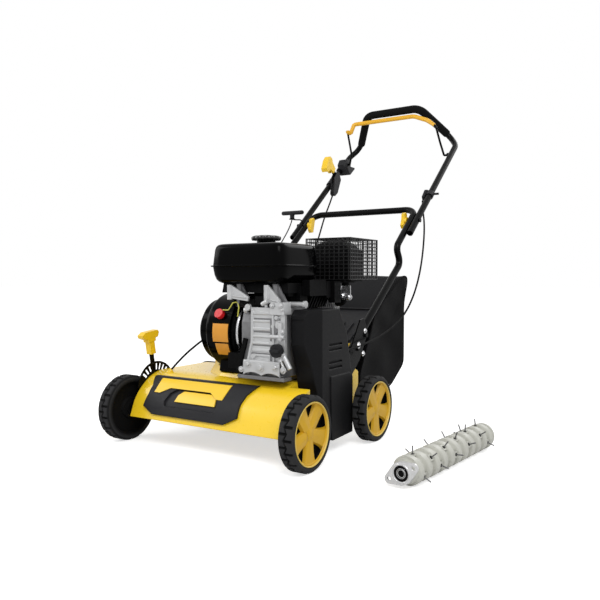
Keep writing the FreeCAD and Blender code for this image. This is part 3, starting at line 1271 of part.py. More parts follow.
def roller_body():
    """Moulded core with a helical row of discs and its steel shaft."""
    half = size.roller_length / 2
    core = Part.makeCylinder(size.roller_core, 2 * half - 40, Vector(0, 20 - half, 0), Y_AXIS)
    count = int(size.roller_discs)
    gap = (2 * half - 60) / (count - 1)
    discs = []
    for step in range(count):
        disc = Part.makeCylinder(size.roller_radius, 6, Vector(0, 30 - half + gap * step - 3, 0), Y_AXIS)
        disc.rotate(Vector(0, 30 - half + gap * step, 0), X_AXIS, 12)
        discs.append(disc)
    trim = Part.makeCylinder(size.roller_radius, 2 * half - 20, Vector(0, 10 - half, 0), Y_AXIS)
    discs = [disc.common(trim) for disc in discs]
    shaft = Part.makeCylinder(7.5, 2 * half + 12, Vector(0, -half + 0.5, 0), Y_AXIS)
    end = Part.makeCylinder(32, 8, Vector(0, half - 16, 0), Y_AXIS)
    core = core.fuse(discs + [shaft, end])
    return keep(formed("roller_body", lay_roller(core)), "roller_body")


def roller_tines():
    """Spring wire tines in pairs round the core, each held by a bolt."""
    half = size.roller_length / 2
    count = int(size.roller_discs) - 1
    gap = (2 * half - 60) / count
    pieces = []
    for step in range(count):
        for turn in (-28 + (step * 67) % 118, 92 + (step * 53) % 118):
            angle = math.radians(min(turn, 206))
            way = Vector(math.cos(angle), 0, math.sin(angle))
            foot = Vector(0, 30 - half + gap * (step + 0.5), 0)
            wire = Part.makeCylinder(1.5, size.tine_radius - size.roller_core - 0.1,
                                     foot + way * (size.roller_core + 0.1), way)
            bolt = Part.makeCylinder(5, 5, foot + way * (size.roller_core + 0.1), way)
            pieces.append(lay_roller(wire.fuse(bolt)))
    return keep(formed("roller_tines", Part.makeCompound(pieces)), "roller_tines")


def roller_flange():
    """Rhombic bearing flange with two bolt holes, and its ball bearing as rings."""
    half = size.roller_length / 2
    near = -half
    ears = [Part.makeCylinder(11, 5, Vector(side * size.flange_pitch / 2, near - 5, 0), Y_AXIS)
            for side in (-1, 1)]
    cup = Part.makeCylinder(25, 12, Vector(0, near - 5, 0), Y_AXIS)
    tip = size.flange_pitch / 2 + 5.5
    web = prism([(-tip, -9.5), (-9, -24), (9, -24), (tip, -9.5), (tip, 9.5), (9, 24), (-9, 24), (-tip, 9.5)],
                "y", near - 5, near)
    hole_x = size.flange_pitch / 2
    holes = [Part.makeCylinder(size.flange_hole, 9, Vector(side * hole_x, near - 7, 0), Y_AXIS)
             for side in (-1, 1)]
    seat = Part.makeCylinder(size.bearing_radius, 30, Vector(0, near - 9, 0), Y_AXIS)
    flange = cup.fuse(ears + [web]).cut(holes + [seat])
    outer = Part.makeCylinder(size.bearing_radius, 11, Vector(0, near - 4, 0), Y_AXIS)
    outer = outer.cut(Part.makeCylinder(14.5, 20, Vector(0, near - 9, 0), Y_AXIS))
    inner = Part.makeCylinder(11, 11, Vector(0, near - 4, 0), Y_AXIS)
    inner = inner.cut(Part.makeCylinder(7.55, 20, Vector(0, near - 9, 0), Y_AXIS))
    seal = Part.makeCylinder(14.5, 9, Vector(0, near - 3, 0), Y_AXIS).cut(
        Part.makeCylinder(11, 20, Vector(0, near - 9, 0), Y_AXIS))
    for piece in (flange, outer, inner, seal):
        piece.rotate(Vector(), Y_AXIS, -29)
    unit = [lay_roller(flange), lay_roller(outer.fuse([inner, seal]))]
    return keep(formed("roller_flange", Part.makeCompound(unit)), "roller_flange")


# ---- the whole machine ------------------------------------------------------------------

def engine_pulley():
    return v_pulley("engine_pulley", "engine_pulley", "size.belt_x", "size.drum_y", "size.crank_z",
                    "size.engine_pulley_radius", "12")


def drum_pulley():
    radius = "size.drum_pulley_radius"
    return v_pulley("drum_pulley", "drum_pulley", "size.belt_x", "size.drum_y", "size.drum_z", radius, "10")


def whole_machine():
    for label, side, y in (("front_left", 1, "0"), ("front_right", -1, "0"),
                           ("rear_left", 1, "size.wheelbase"), ("rear_right", -1, "size.wheelbase")):
        wheel(label + "_wheel", side, y)
        wheel_cover(label + "_cover", side, y)
    for piece in (rear_axle, front_axle, depth_sector, depth_lever, depth_knob, deck, front_trim,
                  front_brow, handle_brackets, belt_cover, engine_pulley, drum_pulley, drive_belt, idler_arm,
                  drum_shaft, drum_knives, drum_bearings, crankcase, crankcase_cover,
                  cylinder_head, blower_housing, flywheel, fan_back, recoil_cover, fuel_tank,
                  fuel_cap, muffler, muffler_guard, air_cleaner, carburettor, small_caps,
                  lower_handle, upper_handle, foam_grip, operator_bail, switch_box,
                  drive_lever, starter_grip, cables, rear_flap,
                  grass_bag, bag_frame, roller_body, roller_tines, roller_flange):
        piece()
    wing_knob(1, "left_wing_knob")
    wing_knob(-1, "right_wing_knob")


def set_machine_place(x, y):
    """Writes where the machine's own origin lies in the part's frame."""
    for step, (name, value) in enumerate((("machine_x", x), ("machine_y", y)), len(SIZES) + 1):
        size.set("A%d" % step, name)
        size.set("B%d" % step, "%.3f" % value)
        if not size.getAlias("B%d" % step):
            size.setAlias("B%d" % step, name)
    doc.recompute()


def check():
    """Stops on anything that failed to build."""
    for item in doc.Objects:
        if "Invalid" in item.State or "Error" in item.State:
            raise RuntimeError("%s did not build: %s" % (item.Name, item.State))
    for item in kept:
        if item.Shape.isNull() or not item.Shape.isValid() or not item.Shape.Solids:
            raise RuntimeError("%s has no sound shape" % item.Label)


set_machine_place(0, 0)
whole_machine()
doc.recompute()
check()
footprint = FreeCAD.BoundBox()
for item in kept:
    footprint.add(item.Shape.optimalBoundingBox(False, False))
set_machine_place(-footprint.Center.x, -footprint.Center.y)
check()
print("machine origin at", size.machine_x, size.machine_y)
print("footprint", footprint)
for item in kept:
    item.Shape.exportStep("parts/%s.step" % item.Label)
print(len(kept), "sub-parts")
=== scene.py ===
# Petrol lawn aerator with a loose tine roller. Units are metres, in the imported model's frame.
import math
import bpy
import numpy as np
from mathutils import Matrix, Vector


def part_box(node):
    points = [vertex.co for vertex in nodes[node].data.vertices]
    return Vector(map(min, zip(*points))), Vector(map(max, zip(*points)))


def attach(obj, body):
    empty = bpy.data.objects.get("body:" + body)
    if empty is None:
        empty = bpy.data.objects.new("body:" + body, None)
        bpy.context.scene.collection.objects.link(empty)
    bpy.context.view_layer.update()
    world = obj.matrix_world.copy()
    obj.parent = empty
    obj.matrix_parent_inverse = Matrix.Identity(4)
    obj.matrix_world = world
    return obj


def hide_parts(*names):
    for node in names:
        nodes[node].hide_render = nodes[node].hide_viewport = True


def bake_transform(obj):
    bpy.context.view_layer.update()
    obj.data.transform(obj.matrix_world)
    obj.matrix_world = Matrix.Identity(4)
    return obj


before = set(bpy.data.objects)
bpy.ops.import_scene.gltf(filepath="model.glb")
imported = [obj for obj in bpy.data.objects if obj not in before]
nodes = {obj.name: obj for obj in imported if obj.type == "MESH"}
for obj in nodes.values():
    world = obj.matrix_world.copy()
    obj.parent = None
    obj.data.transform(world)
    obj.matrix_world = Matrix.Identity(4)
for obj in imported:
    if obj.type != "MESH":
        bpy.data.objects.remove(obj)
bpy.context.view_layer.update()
print("frame loaded")


# Placing and measuring

def middle(node):
    low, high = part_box(node)
    return (low + high) / 2


machineX = (middle("front_left_wheel").x + middle("front_right_wheel").x) / 2
machineY = middle("front_left_wheel").y     # front wheels stand under the machine's own origin


def spot(x, y, z):   # a point given from the ground under the front axle, in the machine's middle
    return np.array([machineX + x, machineY + y, z])


# Mesh helpers

def grid(points, closeU=False, closeV=False):
    # A net of points [u, v, xyz] as quads: each point joins its neighbour along u and along v,
    # and the last row joins the first where that way is closed.
    nu, nv = points.shape[:2]
    ids = np.arange(nu * nv).reshape(nu, nv)
    rowEnd = nu if closeU else nu - 1
    colEnd = nv if closeV else nv - 1
    a = ids[:rowEnd, :colEnd]
    b = np.roll(ids, -1, 0)[:rowEnd, :colEnd]
    c = np.roll(np.roll(ids, -1, 0), -1, 1)[:rowEnd, :colEnd]
    d = np.roll(ids, -1, 1)[:rowEnd, :colEnd]
    faces = np.stack([a, b, c, d], -1).reshape(-1, 4)
    return points.reshape(-1, 3), faces


def box3(low, high, skew=0.0):
    # The eight corners of a box, its six sides facing out; skew draws the top in.
    low, high = np.asarray(low, float), np.asarray(high, float)
    x0, y0, z0 = low
    x1, y1, z1 = high
    s = skew
    points = np.array([[x0, y0, z0], [x1, y0, z0], [x1, y1, z0], [x0, y1, z0], [x0 + s, y0 + s, z1],
                       [x1 - s, y0 + s, z1], [x1 - s, y1 - s, z1], [x0 + s, y1 - s, z1]])
    faces = np.array([[0, 3, 2, 1], [4, 5, 6, 7], [0, 1, 5, 4], [1, 2, 6, 5], [2, 3, 7, 6], [3, 0, 4, 7]])
    return points, faces


def lathe(profile, centre, axis, steps=64, wave=None):
    # A profile of (along, radius) pairs turned about an axis. wave(angle, along) adds to the radius.
    profile = np.asarray(profile, float)
    way = np.asarray(axis, float) / np.linalg.norm(axis)
    side = np.cross(way, [0.0, 0.0, 1.0] if abs(way[2]) < 0.9 else [1.0, 0.0, 0.0])
    side /= np.linalg.norm(side)
    up = np.cross(way, side)
    angle = np.linspace(0, 2 * math.pi, steps, endpoint=False)[:, None]
    radius = np.broadcast_to(profile[:, 1], (steps, len(profile)))
    if wave is not None:
        radius = radius + wave(angle, profile[None, :, 0]) * (profile[:, 1] > 1e-6)
    ring = np.cos(angle)[..., None] * side + np.sin(angle)[..., None] * up
    points = np.asarray(centre) + profile[None, :, 0, None] * way + radius[..., None] * ring
    return grid(points, closeU=True)


def roundPath(corners, radii, spacing=0.006):
    # Straight runs joined by arcs: each corner's arc leaves its run at radius times the tangent of half
    # the turn, and is read off at even steps.
    corners = [np.asarray(c, float) for c in corners]
    out = [corners[0]]
    for index in range(1, len(corners) - 1):
        before = corners[index - 1] - corners[index]
        after = corners[index + 1] - corners[index]
        before /= np.linalg.norm(before)
        after /= np.linalg.norm(after)
        turn = math.pi - math.acos(np.clip(before @ after, -1, 1))
        reach = radii[index - 1] * math.tan(turn / 2)
        inward = (before + after) / np.linalg.norm(before + after)
        centre = corners[index] + inward * radii[index - 1] / math.cos(turn / 2)
        first = corners[index] + before * reach - centre
        other = np.cross(np.cross(first, after), first)
        other = other / np.linalg.norm(other) * np.linalg.norm(first)
        steps = max(3, int(radii[index - 1] * turn / spacing))
        angles = np.linspace(0, turn, steps + 1)[:, None]
        out.extend(centre + first * np.cos(angles) + other * np.sin(angles))
    out.append(corners[-1])
    return np.array(out)


def carry(path, ring):
    # A closed ring of (across, up) pairs, or one such ring for each path point, carried along a path and
    # closed at both ends by its own middle.
    path = np.asarray(path, float)
    ring = np.asarray(ring, float)
    ahead = np.gradient(path, axis=0)
    ahead /= np.linalg.norm(ahead, axis=1)[:, None]
    flat = np.linalg.svd(path - path.mean(0))[2][2]      # the way that the path's own plane faces
    side = np.cross(ahead, flat)
    side /= np.linalg.norm(side, axis=1)[:, None]
    up = np.cross(side, ahead)
    ring = np.broadcast_to(ring, (len(path),) + ring.shape[-2:])
    points = path[:, None] + ring[..., :1] * side[:, None] + ring[..., 1:] * up[:, None]
    lids = [np.repeat(points[edge].mean(1, keepdims=True), points.shape[1], 1)
            for edge in (slice(0, 1), slice(-1, None))]
    return grid(np.concatenate([lids[0], points, lids[1]]), closeV=True)


def circle(radius, sides=20):
    angle = np.linspace(0, 2 * math.pi, sides, endpoint=False)
    return np.stack([radius * np.cos(angle), radius * np.sin(angle)], 1)


def can(levels, middleX, middleY, halfX, halfY, power, steps):
    # Levels of (inset, height). Each is a superellipse round the middle with the half sizes less its inset:
    # |x / halfX| and |y / halfY|, each to the power, add up to 1. Both ends close at their middle.
    angle = np.linspace(0, 2 * math.pi, steps, endpoint=False)[:, None]
    inset, height = (np.array(column)[None, :] for column in zip(*levels))
    wide, deep = np.cos(angle), np.sin(angle)
    reach = 1 / (np.abs(wide) ** power + np.abs(deep) ** power) ** (1 / power)
    points = np.stack([middleX + (halfX - inset) * reach * wide,
                       middleY + np.maximum(halfY - inset, 0.001) * reach * deep,
                       np.broadcast_to(height, (steps, len(levels)))], -1)
    lids = [np.repeat(points[:, edge].mean(0)[None], steps, 0)[:, None] for edge in (0, -1)]
    return np.concatenate([lids[0], points, lids[1]], 1)


def block(x0, x1, y0, y1, z0, z1, skew=0.0):   # limits in millimetres from the ground under the axle
    return box3(spot(x0 / 1000, y0 / 1000, z0 / 1000), spot(x1 / 1000, y1 / 1000, z1 / 1000), skew / 1000)


def place(x, y, z):   # spot() in millimetres
    return spot(x / 1000, y / 1000, z / 1000)


def rod(first, last, radius, sides=24, edge=0.0006):
    # A straight bar between two points with its end edges taken off.
    first, last = np.asarray(first, float), np.asarray(last, float)
    reach = np.linalg.norm(last - first)
    return lathe([(0, 0), (0, radius - edge), (edge, radius), (reach - edge, radius), (reach, radius - edge),
                  (reach, 0)], first, last - first, sides)


def slab(corners, thick):
    # A flat plate from its corners in order, thickened along its own normal.
    corners = np.asarray(corners, float)
    normal = np.cross(corners[1] - corners[0], corners[2] - corners[0])
    normal = normal / np.linalg.norm(normal) * thick / 2
    middleOf = corners.mean(0)
    rows = np.stack([np.broadcast_to(middleOf + normal, corners.shape), corners + normal, corners - normal,
                     np.broadcast_to(middleOf - normal, corners.shape)])
    return grid(rows, closeV=True)


def hexBolt(at, axis, across, height):   # hexagon head with a washer under it
    face = lathe([(0, 0), (0, across * 0.78), (height * 0.25, across * 0.78), (height * 0.25, across * 0.3)],
                 at, axis, 24)
    head = lathe([(height * 0.25, across * 0.5), (height * 0.85, across * 0.5), (height, across * 0.4),
                  (height, 0)], at, axis, 6)
    return [face, head]


def linked(name, data):
    item = bpy.data.objects.new(name, data)
    bpy.context.scene.collection.objects.link(item)
    return item


def piece(name, parts, body, material, smooth=40, replaces=()):
    # Puts the parts into one mesh, tidies doubles and normals, and lets it ride on its body.
    parts = parts if isinstance(parts, list) else [parts]
    counts = np.cumsum([0] + [len(points) for points, _ in parts])
    mesh = bpy.data.meshes.new(name)
    points = np.concatenate([points for points, _ in parts])
    faces = [row for (_, faces), start in zip(parts, counts) for row in (faces + start).tolist()]
    mesh.from_pydata(points.tolist(), [], faces)
    item = linked(name, mesh)
    bpy.ops.object.select_all(action="DESELECT")
    bpy.context.view_layer.objects.active = item
    item.select_set(True)
    bpy.ops.object.mode_set(mode="EDIT")
    bpy.ops.mesh.select_all(action="SELECT")
    bpy.ops.mesh.remove_doubles(threshold=2e-6)
    bpy.ops.mesh.dissolve_degenerate(threshold=1e-7)
    bpy.ops.mesh.normals_make_consistent(inside=False)
    bpy.ops.object.mode_set(mode="OBJECT")
    bpy.ops.object.shade_smooth_by_angle(angle=math.radians(smooth))
    item.select_set(False)
    item.data.materials.append(material)
    if replaces:
        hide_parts(*replaces)
    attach(item, body)
    return item


# Finishes

def feed(tree, node, inputs):   # an input is set to its value, or joined where the value is a socket
    for key, value in inputs.items():
        if isinstance(value, bpy.types.NodeSocket):
            tree.links.new(value, node.inputs[key])
        else:
            node.inputs[key].default_value = value


def shaderNode(tree, kind, inputs=None, **settings):
    node = tree.nodes.new("ShaderNode" + kind)
    for key, value in settings.items():
        setattr(node, key, value)
    feed(tree, node, inputs or {})
    return node


def finish(name, colour, rough=0.5, metal=0.0, shine=0.5, coat=0.0, mottle=0.06, mottleSize=18.0,
           grain=0.0, grainSize=900.0, roughSpread=0.1, soft=0.0012, sheen=0.0, paintedShadingColour=None):
    # Base colour wanders with a slow noise, roughness with a finer one, and a third gives the grain.
    # Where the mesh carries the painted-shading attribute the colour goes over to a second colour: painted
    # shade in the tyre grooves, painted light on the bag's top. Edges look rounded by soft.
    material = bpy.data.materials.new(name)
    material.use_nodes = True
    tree = material.node_tree
    surface = shaderNode(tree, "TexCoord").outputs["Object"]

    def noise(scale, detail):
        node = shaderNode(tree, "TexNoise", {"Vector": surface, "Scale": scale, "Detail": detail})
        return node.outputs["Fac"]

    light = tuple(min(1.0, c * (1 + mottle)) for c in colour) + (1,)
    dark = tuple(c * (1 - mottle) for c in colour) + (1,)
    tint = shaderNode(tree, "Mix", {"Factor": noise(mottleSize, 4.0), "A": light, "B": dark},
                      data_type="RGBA").outputs["Result"]
    if paintedShadingColour:
        # The attribute's share blends the colour towards the second colour, the painted shading.
        depth = shaderNode(tree, "Attribute", attribute_name="cut").outputs["Fac"]
        tint = shaderNode(tree, "Mix", {"Factor": depth, "A": tint, "B": tuple(paintedShadingColour) + (1,)},
                          data_type="RGBA").outputs["Result"]
    spread = shaderNode(tree, "MapRange", {"Value": noise(mottleSize * 6, 6.0),
                                           "To Min": max(0.02, rough - roughSpread),
                                           "To Max": min(1.0, rough + roughSpread)})
    normal = shaderNode(tree, "Bevel", {"Radius": soft}, samples=4).outputs["Normal"]
    if grain:
        normal = shaderNode(tree, "Bump", {"Strength": grain, "Distance": 0.0006, "Normal": normal,
                                           "Height": noise(grainSize, 3.0)}).outputs["Normal"]
    feed(tree, tree.nodes["Principled BSDF"],
         {"Base Color": tint, "Metallic": metal, "Roughness": spread.outputs["Result"], "Normal": normal,
          "Specular IOR Level": shine, "Coat Weight": coat, "Coat Roughness": 0.08, "Sheen Weight": sheen})
    return material


yellowPaint = finish("yellowPaint", (0.90, 0.60, 0.016), rough=0.3, coat=0.35, mottle=0.03, grain=0.05,
                     grainSize=300, soft=0.003)
yellowShell = finish("yellowShell", (0.88, 0.564, 0.014), rough=0.34, mottle=0.04, grain=0.08, soft=0.0015)
coverYellow = finish("coverYellow", (0.62, 0.36, 0.013), rough=0.4, shine=0.35, mottle=0.05, grain=0.1)
lipYellow = finish("lipYellow", (0.70, 0.50, 0.09), rough=0.35, mottle=0.04, grain=0.05)
blackSteel = finish("blackSteel", (0.0018, 0.0018, 0.002), rough=0.28, shine=0.09, mottle=0.2, grain=0.06)
blackShell = finish("blackShell", (0.016, 0.016, 0.018), rough=0.5, shine=0.14, mottle=0.1, grain=0.2,
                    grainSize=1500, soft=0.003)
coverBlack = finish("coverBlack", (0.0075, 0.0075, 0.0082), rough=0.42, shine=0.09, mottle=0.15, grain=0.15,
                    grainSize=1400, soft=0.005)
glossBlack = finish("glossBlack", (0.0007, 0.0007, 0.0008), rough=0.12, shine=0.045, mottle=0.2,
                    roughSpread=0.03, soft=0.002)
# Tyre rubber; its second colour is painted shade, near black in the tread grooves and the dish inside the
# bead.
tyreBlack = finish("tyreBlack", (0.026, 0.026, 0.027), rough=0.75, shine=0.12, mottle=0.15, grain=0.3,
                   grainSize=1200, soft=0.0006, paintedShadingColour=(0.0015, 0.0015, 0.0015))
castSilver = finish("castSilver", (0.50, 0.505, 0.51), rough=0.38, metal=0.45, mottle=0.14, mottleSize=40,
                    grain=0.3, grainSize=700, soft=0.0012)
# A darker copy of the cast silver: painted shade for the crankcase and its cover, so the recesses of the cast
# front read shaded.
shadeCast = finish("shadeCast", (0.17, 0.17, 0.175), rough=0.5, metal=0.4, mottle=0.25, mottleSize=60,
                   grain=0.3)
goldSleeve = finish("goldSleeve", (0.80, 0.42, 0.016), rough=0.36, mottle=0.05, grain=0.06)
foamBlack = finish("foamBlack", (0.006, 0.006, 0.006), rough=0.85, shine=0.08, mottle=0.2, grain=0.5,
                   grainSize=2200, soft=0.001)
# Black cloth; its lighter second colour is painted light on the upward-facing top.
bagCloth = finish("bagCloth", (0.0028, 0.0028, 0.0031), rough=0.8, shine=0.05, mottle=0.35, mottleSize=30,
                  grain=0.5, grainSize=1600, soft=0.001, sheen=0.03, paintedShadingColour=(0.012, 0.012, 0.013))
brightSteel = finish("brightSteel", (0.62, 0.62, 0.63), rough=0.26, metal=1.0, mottle=0.06, grain=0.05)
capBlack = finish("capBlack", (0.0012, 0.0012, 0.0013), rough=0.13, shine=0.7, mottle=0.2, roughSpread=0.05)
darkSteel = finish("darkSteel", (0.002, 0.002, 0.0022), rough=0.5, shine=0.06, mottle=0.2, grain=0.1)
wireGrey = finish("wireGrey", (0.15, 0.15, 0.155), rough=0.4, metal=0.5, mottle=0.1, grain=0.05)
guardBlack = finish("guardBlack", (0.007, 0.007, 0.0075), rough=0.32, shine=0.4, mottle=0.15)
wornRubber = finish("wornRubber", (0.003, 0.003, 0.003), rough=0.6, shine=0.07, mottle=0.2, grain=0.1)
paleNylon = finish("paleNylon", (0.50, 0.50, 0.45), rough=0.42, mottle=0.06, grain=0.08)
zincSheet = finish("zincSheet", (0.60, 0.60, 0.60), rough=0.36, metal=0.5, mottle=0.1, mottleSize=120,
                   grain=0.15)
redShell = finish("redShell", (0.62, 0.012, 0.018), rough=0.35, mottle=0.06)
leadYellow = finish("leadYellow", (0.50, 0.48, 0.06), rough=0.5, mottle=0.06)
labelOrange = finish("labelOrange", (0.64, 0.27, 0.018), rough=0.45, mottle=0.08, mottleSize=60)

nodeFinish = {
    yellowPaint: ("deck",),
    yellowShell: ("front_brow", "depth_knob", "lift_knob", "left_wing_knob", "right_wing_knob"),
    blackShell: ("front_trim", "rear_flap", "switch_box", "tube_clips", "oil_cap", "starter_grip"),
    coverBlack: ("belt_cover",),
    glossBlack: ("blower_housing", "recoil_cover", "air_cleaner", "spark_plug"),
    blackSteel: ("front_axle", "depth_sector", "depth_lever", "handle_brackets", "lower_handle",
                 "upper_handle", "lift_lever", "bag_frame"),
    castSilver: ("cylinder_head", "carburettor"),
    # Painted shade: the crankcase and its cover take the darker copy of the cast silver.
    shadeCast: ("crankcase", "crankcase_cover"),
    brightSteel: ("rear_axle", "engine_pulley", "drum_pulley", "idler_arm", "drum_shaft", "drum_bearings",
                  "crankshaft", "drum_knives"),
    wireGrey: ("roller_tines",),
    darkSteel: ("muffler", "fan_back_plate"),
    wornRubber: ("drive_belt", "control_cables", "starter_rope"),
    paleNylon: ("roller_body",),
    zincSheet: ("roller_flange",),
    redShell: ("ignition_knob",),
}
for material, names in nodeFinish.items():
    for name in names:
        nodes[name].data.materials.clear()
        nodes[name].data.materials.append(material)
print("finishes on the carried-over nodes")


# Wheels

wheelSize = {"lugs": 18, "lugDepth": 0.0042, "grooveHalf": 0.12, "zigzag": 0.26, "zigzagHalf": 0.13,
             "spokes": 5, "spokeTurn": 0.3, "spokeReach": 0.0702, "hubDepth": 0.0078, "rimDepth": 0.0048,
             "ridge": 0.0034, "beadRadius": 0.0762}


def tread(angle, across):
    # Depth of the cut at each point. A zigzag runs round the middle, each of its outer points sends a
    # groove to the outer shoulder and each inner point one to the inner shoulder, so two rows of
    # five-sided blocks interlock. Each groove is a soft step of the distance to its line.
    turn = angle * wheelSize["lugs"] / (2 * math.pi)
    share = turn % 1
    zigzag = wheelSize["zigzag"] * (4 * np.abs(share - 0.5) - 1)
    band = 1 - np.abs(across - zigzag) / wheelSize["zigzagHalf"]
    nearPeak = np.minimum(share, 1 - share)
    outerGroove = (1 - nearPeak / wheelSize["grooveHalf"]) * (across < zigzag + 0.05) * 1.2
    innerGroove = (1 - np.abs(share - 0.5) / wheelSize["grooveHalf"]) * (across > zigzag - 0.05) * 1.2
    return np.clip(np.maximum(band, np.maximum(outerGroove, innerGroove)) * 2.4, 0, 1)


def markPaintedShading(item, share):   # stores a 0 to 1 number at every point for the finish's second colour, the painted shading
    mark = item.data.attributes.new("cut", "FLOAT", "POINT")
    mark.data.foreach_set("value", np.asarray(share, np.float32))


def pointsOf(item):
    flat = np.empty(len(item.data.vertices) * 3, np.float32)
    item.data.vertices.foreach_get("co", flat)
    return flat.reshape(-1, 3).astype(float)


def tyre(name, side, body):
    low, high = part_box(name)
    centre = (low + high) / 2
    outer = high.x if side > 0 else low.x
    radius, across, bead = (high.z - low.z) / 2, high.x - low.x, wheelSize["beadRadius"]
    section = [(0.0010, bead), (0.0, 0.0775), (0.0, radius - 0.0075), (0.0016, radius - 0.0034),
               (0.0046, radius - 0.0006)]
    section += [(inset, radius) for inset in np.linspace(0.006, across - 0.006, 24)]
    section += [(across - 0.0046, radius - 0.0006), (across - 0.0016, radius - 0.0034),
                (across, radius - 0.0075), (across, 0.0720), (across - 0.004, 0.0700),
                (across - 0.012, 0.068), (across - 0.013, 0.030), (across - 0.006, 0.026),
                (across - 0.005, 0.0185), (across - 0.0005, 0.0175), (across - 0.0005, 0.0085)]
    section = np.array(section)
    onTread = (np.arange(len(section)) > 2) & (np.arange(len(section)) < 32)

    def lugCut(angle, along):
        share = (along - across / 2) / (across / 2 - 0.004)
        fade = np.clip((1.04 - np.abs(share)) * 9, 0, 1)
        return -wheelSize["lugDepth"] * tread(angle, share) * fade * onTread

    shell = lathe(section, (outer, centre.y, centre.z), (-side, 0, 0), 432, wave=lugCut)
    wall = lathe([(0.001, bead), (0.020, 0.0752), (0.021, 0.018), (0.012, 0.017), (0.011, 0.0)],
                 (outer, centre.y, centre.z), (-side, 0, 0), 96)
    item = piece(name + "Tyre", [shell, wall], body, tyreBlack, smooth=50, replaces=(name,))
    points = pointsOf(item)
    reach = np.hypot(points[:, 1] - centre.y, points[:, 2] - centre.z)
    inset = side * (outer - points[:, 0])
    # Painted shade: the dish inside the bead goes fully dark, and the tread grooves darken with their depth.
    dished = (reach < bead + 0.0002) * 1.0
    grooveShade = (radius - 0.0008 - reach) / 0.003 * (inset > 0.004) * (reach > 0.084)
    markPaintedShading(item, np.clip(dished + grooveShade, 0, 1))


def wheelCover(name, side, body):
    low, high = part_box(name)
    centre = (low + high) / 2
    outer = high.x if side > 0 else low.x
    start = (outer, centre.y, centre.z)
    hubDepth, rimDepth, ridge = wheelSize["hubDepth"], wheelSize["rimDepth"], wheelSize["ridge"]
    ring = lathe([(0.0066, 0.0680), (0.0040, 0.0694), (0.0036, 0.0712), (0.0044, 0.0722)], start,
                 (-side, 0, 0), 160)
    lip = lathe([(0.0060, 0.0718), (0.0012, 0.0722), (0.0002, 0.0730), (0.0, 0.0741), (0.0006, 0.0752),
                 (0.012, 0.0753)], start, (-side, 0, 0), 160)
    # A spoke is a net over (share along the radius, share across). Its sides run nearly parallel, meet the
    # next spoke's near the hub and spread at the rim, and its face falls from a middle ridge to each edge.
    along = np.linspace(0, 1, 22)[:, None]
    across = np.linspace(-1, 1, 13)[None, :]
    reach = wheelSize["spokeReach"] * along
    halfWidth = np.interp(reach, [0, 0.026, 0.036, 0.045, 0.058, 0.066, 0.0702],
                          [0.0130, 0.0184, 0.0192, 0.0198, 0.0222, 0.0252, 0.0290])
    crown = 1 - np.abs(across)
    depth = (hubDepth + (rimDepth - hubDepth) * along ** 1.4 + ridge * (1 - crown ** 0.9) * (1 - 0.55 * along)
             - 0.0008 * np.cos(math.pi * along))
    drop = np.where(np.abs(across) > 0.99, 0.007, 0.0)
    parts = [ring]
    for step in range(wheelSize["spokes"]):
        turn = 2 * math.pi * (step + 0.5) / wheelSize["spokes"] + wheelSize["spokeTurn"]
        ahead = np.array([0, math.cos(turn), math.sin(turn)])
        beside = np.array([0, -math.sin(turn), math.cos(turn)])
        points = (np.array([outer, centre.y, centre.z]) - side * (depth + drop)[..., None] * [1, 0, 0]
                  + reach[..., None] * ahead + (across * halfWidth)[..., None] * beside)
        parts.append(grid(points))
    hub = lathe([(0.0060, 0.0), (0.0061, 0.0105), (0.0074, 0.0135), (0.0074, 0.0150), (0.010, 0.0160)], start,
                (-side, 0, 0), 60)
    piece(name + "Lip", lip, body, lipYellow, smooth=50)
    piece(name + "Face", parts + [hub], body, coverYellow, smooth=28, replaces=(name,))


for end in ("front_left", "front_right", "rear_left", "rear_right"):
    side = 1 if "left" in end else -1
    tyre(end + "_wheel", side, end + "_roller")
    wheelCover(end + "_cover", side, end + "_roller")
print("wheels")


# Fuel tank and its cap

tankSize = {"power": 9.0, "seamOut": 0.0045, "seamUp": 0.047, "plateau": 0.006, "capLobes": 12,
            "lobeDepth": 0.0016}


def tankShell():
    # Levels of (inset, height) from the rolled bottom over the standing seam to the softly crowned top.
    low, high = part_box("fuel_tank")
    size = (high - low) / 2
    seamOut = tankSize["seamOut"]
    bottom, seam, top = low.z, low.z + tankSize["seamUp"], high.z - tankSize["plateau"]
    levels = [(0.100, bottom + 0.003), (0.034, bottom + 0.0012), (0.020, bottom + 0.0020),
              (0.012, bottom + 0.0060), (0.007, bottom + 0.012), (0.003, bottom + 0.024), (0.0, seam - 0.002),
              (-seamOut, seam - 0.0016), (-seamOut, seam + 0.0016), (0.0, seam + 0.002),
              (0.0020, seam + 0.022), (0.0042, top - 0.018), (0.0066, top - 0.010), (0.0105, top - 0.0055),
              (0.0165, top - 0.0030), (0.034, top - 0.0014), (0.070, top - 0.0004), (0.100, top)]
    body = grid(can(levels, middle("fuel_tank").x, middle("fuel_tank").y, size.x - seamOut, size.y - seamOut,
                    tankSize["power"], 144), closeU=True)
    neck = lathe([(-0.006, 0.026), (0.0, 0.026), (0.002, 0.025), (0.0065, 0.025)],
                 (middle("fuel_cap").x, middle("fuel_cap").y, top), (0, 0, 1), 48)
    return piece("tankShell", [body, neck], "machine", glossBlack, smooth=50,
                 replaces=("fuel_tank",))


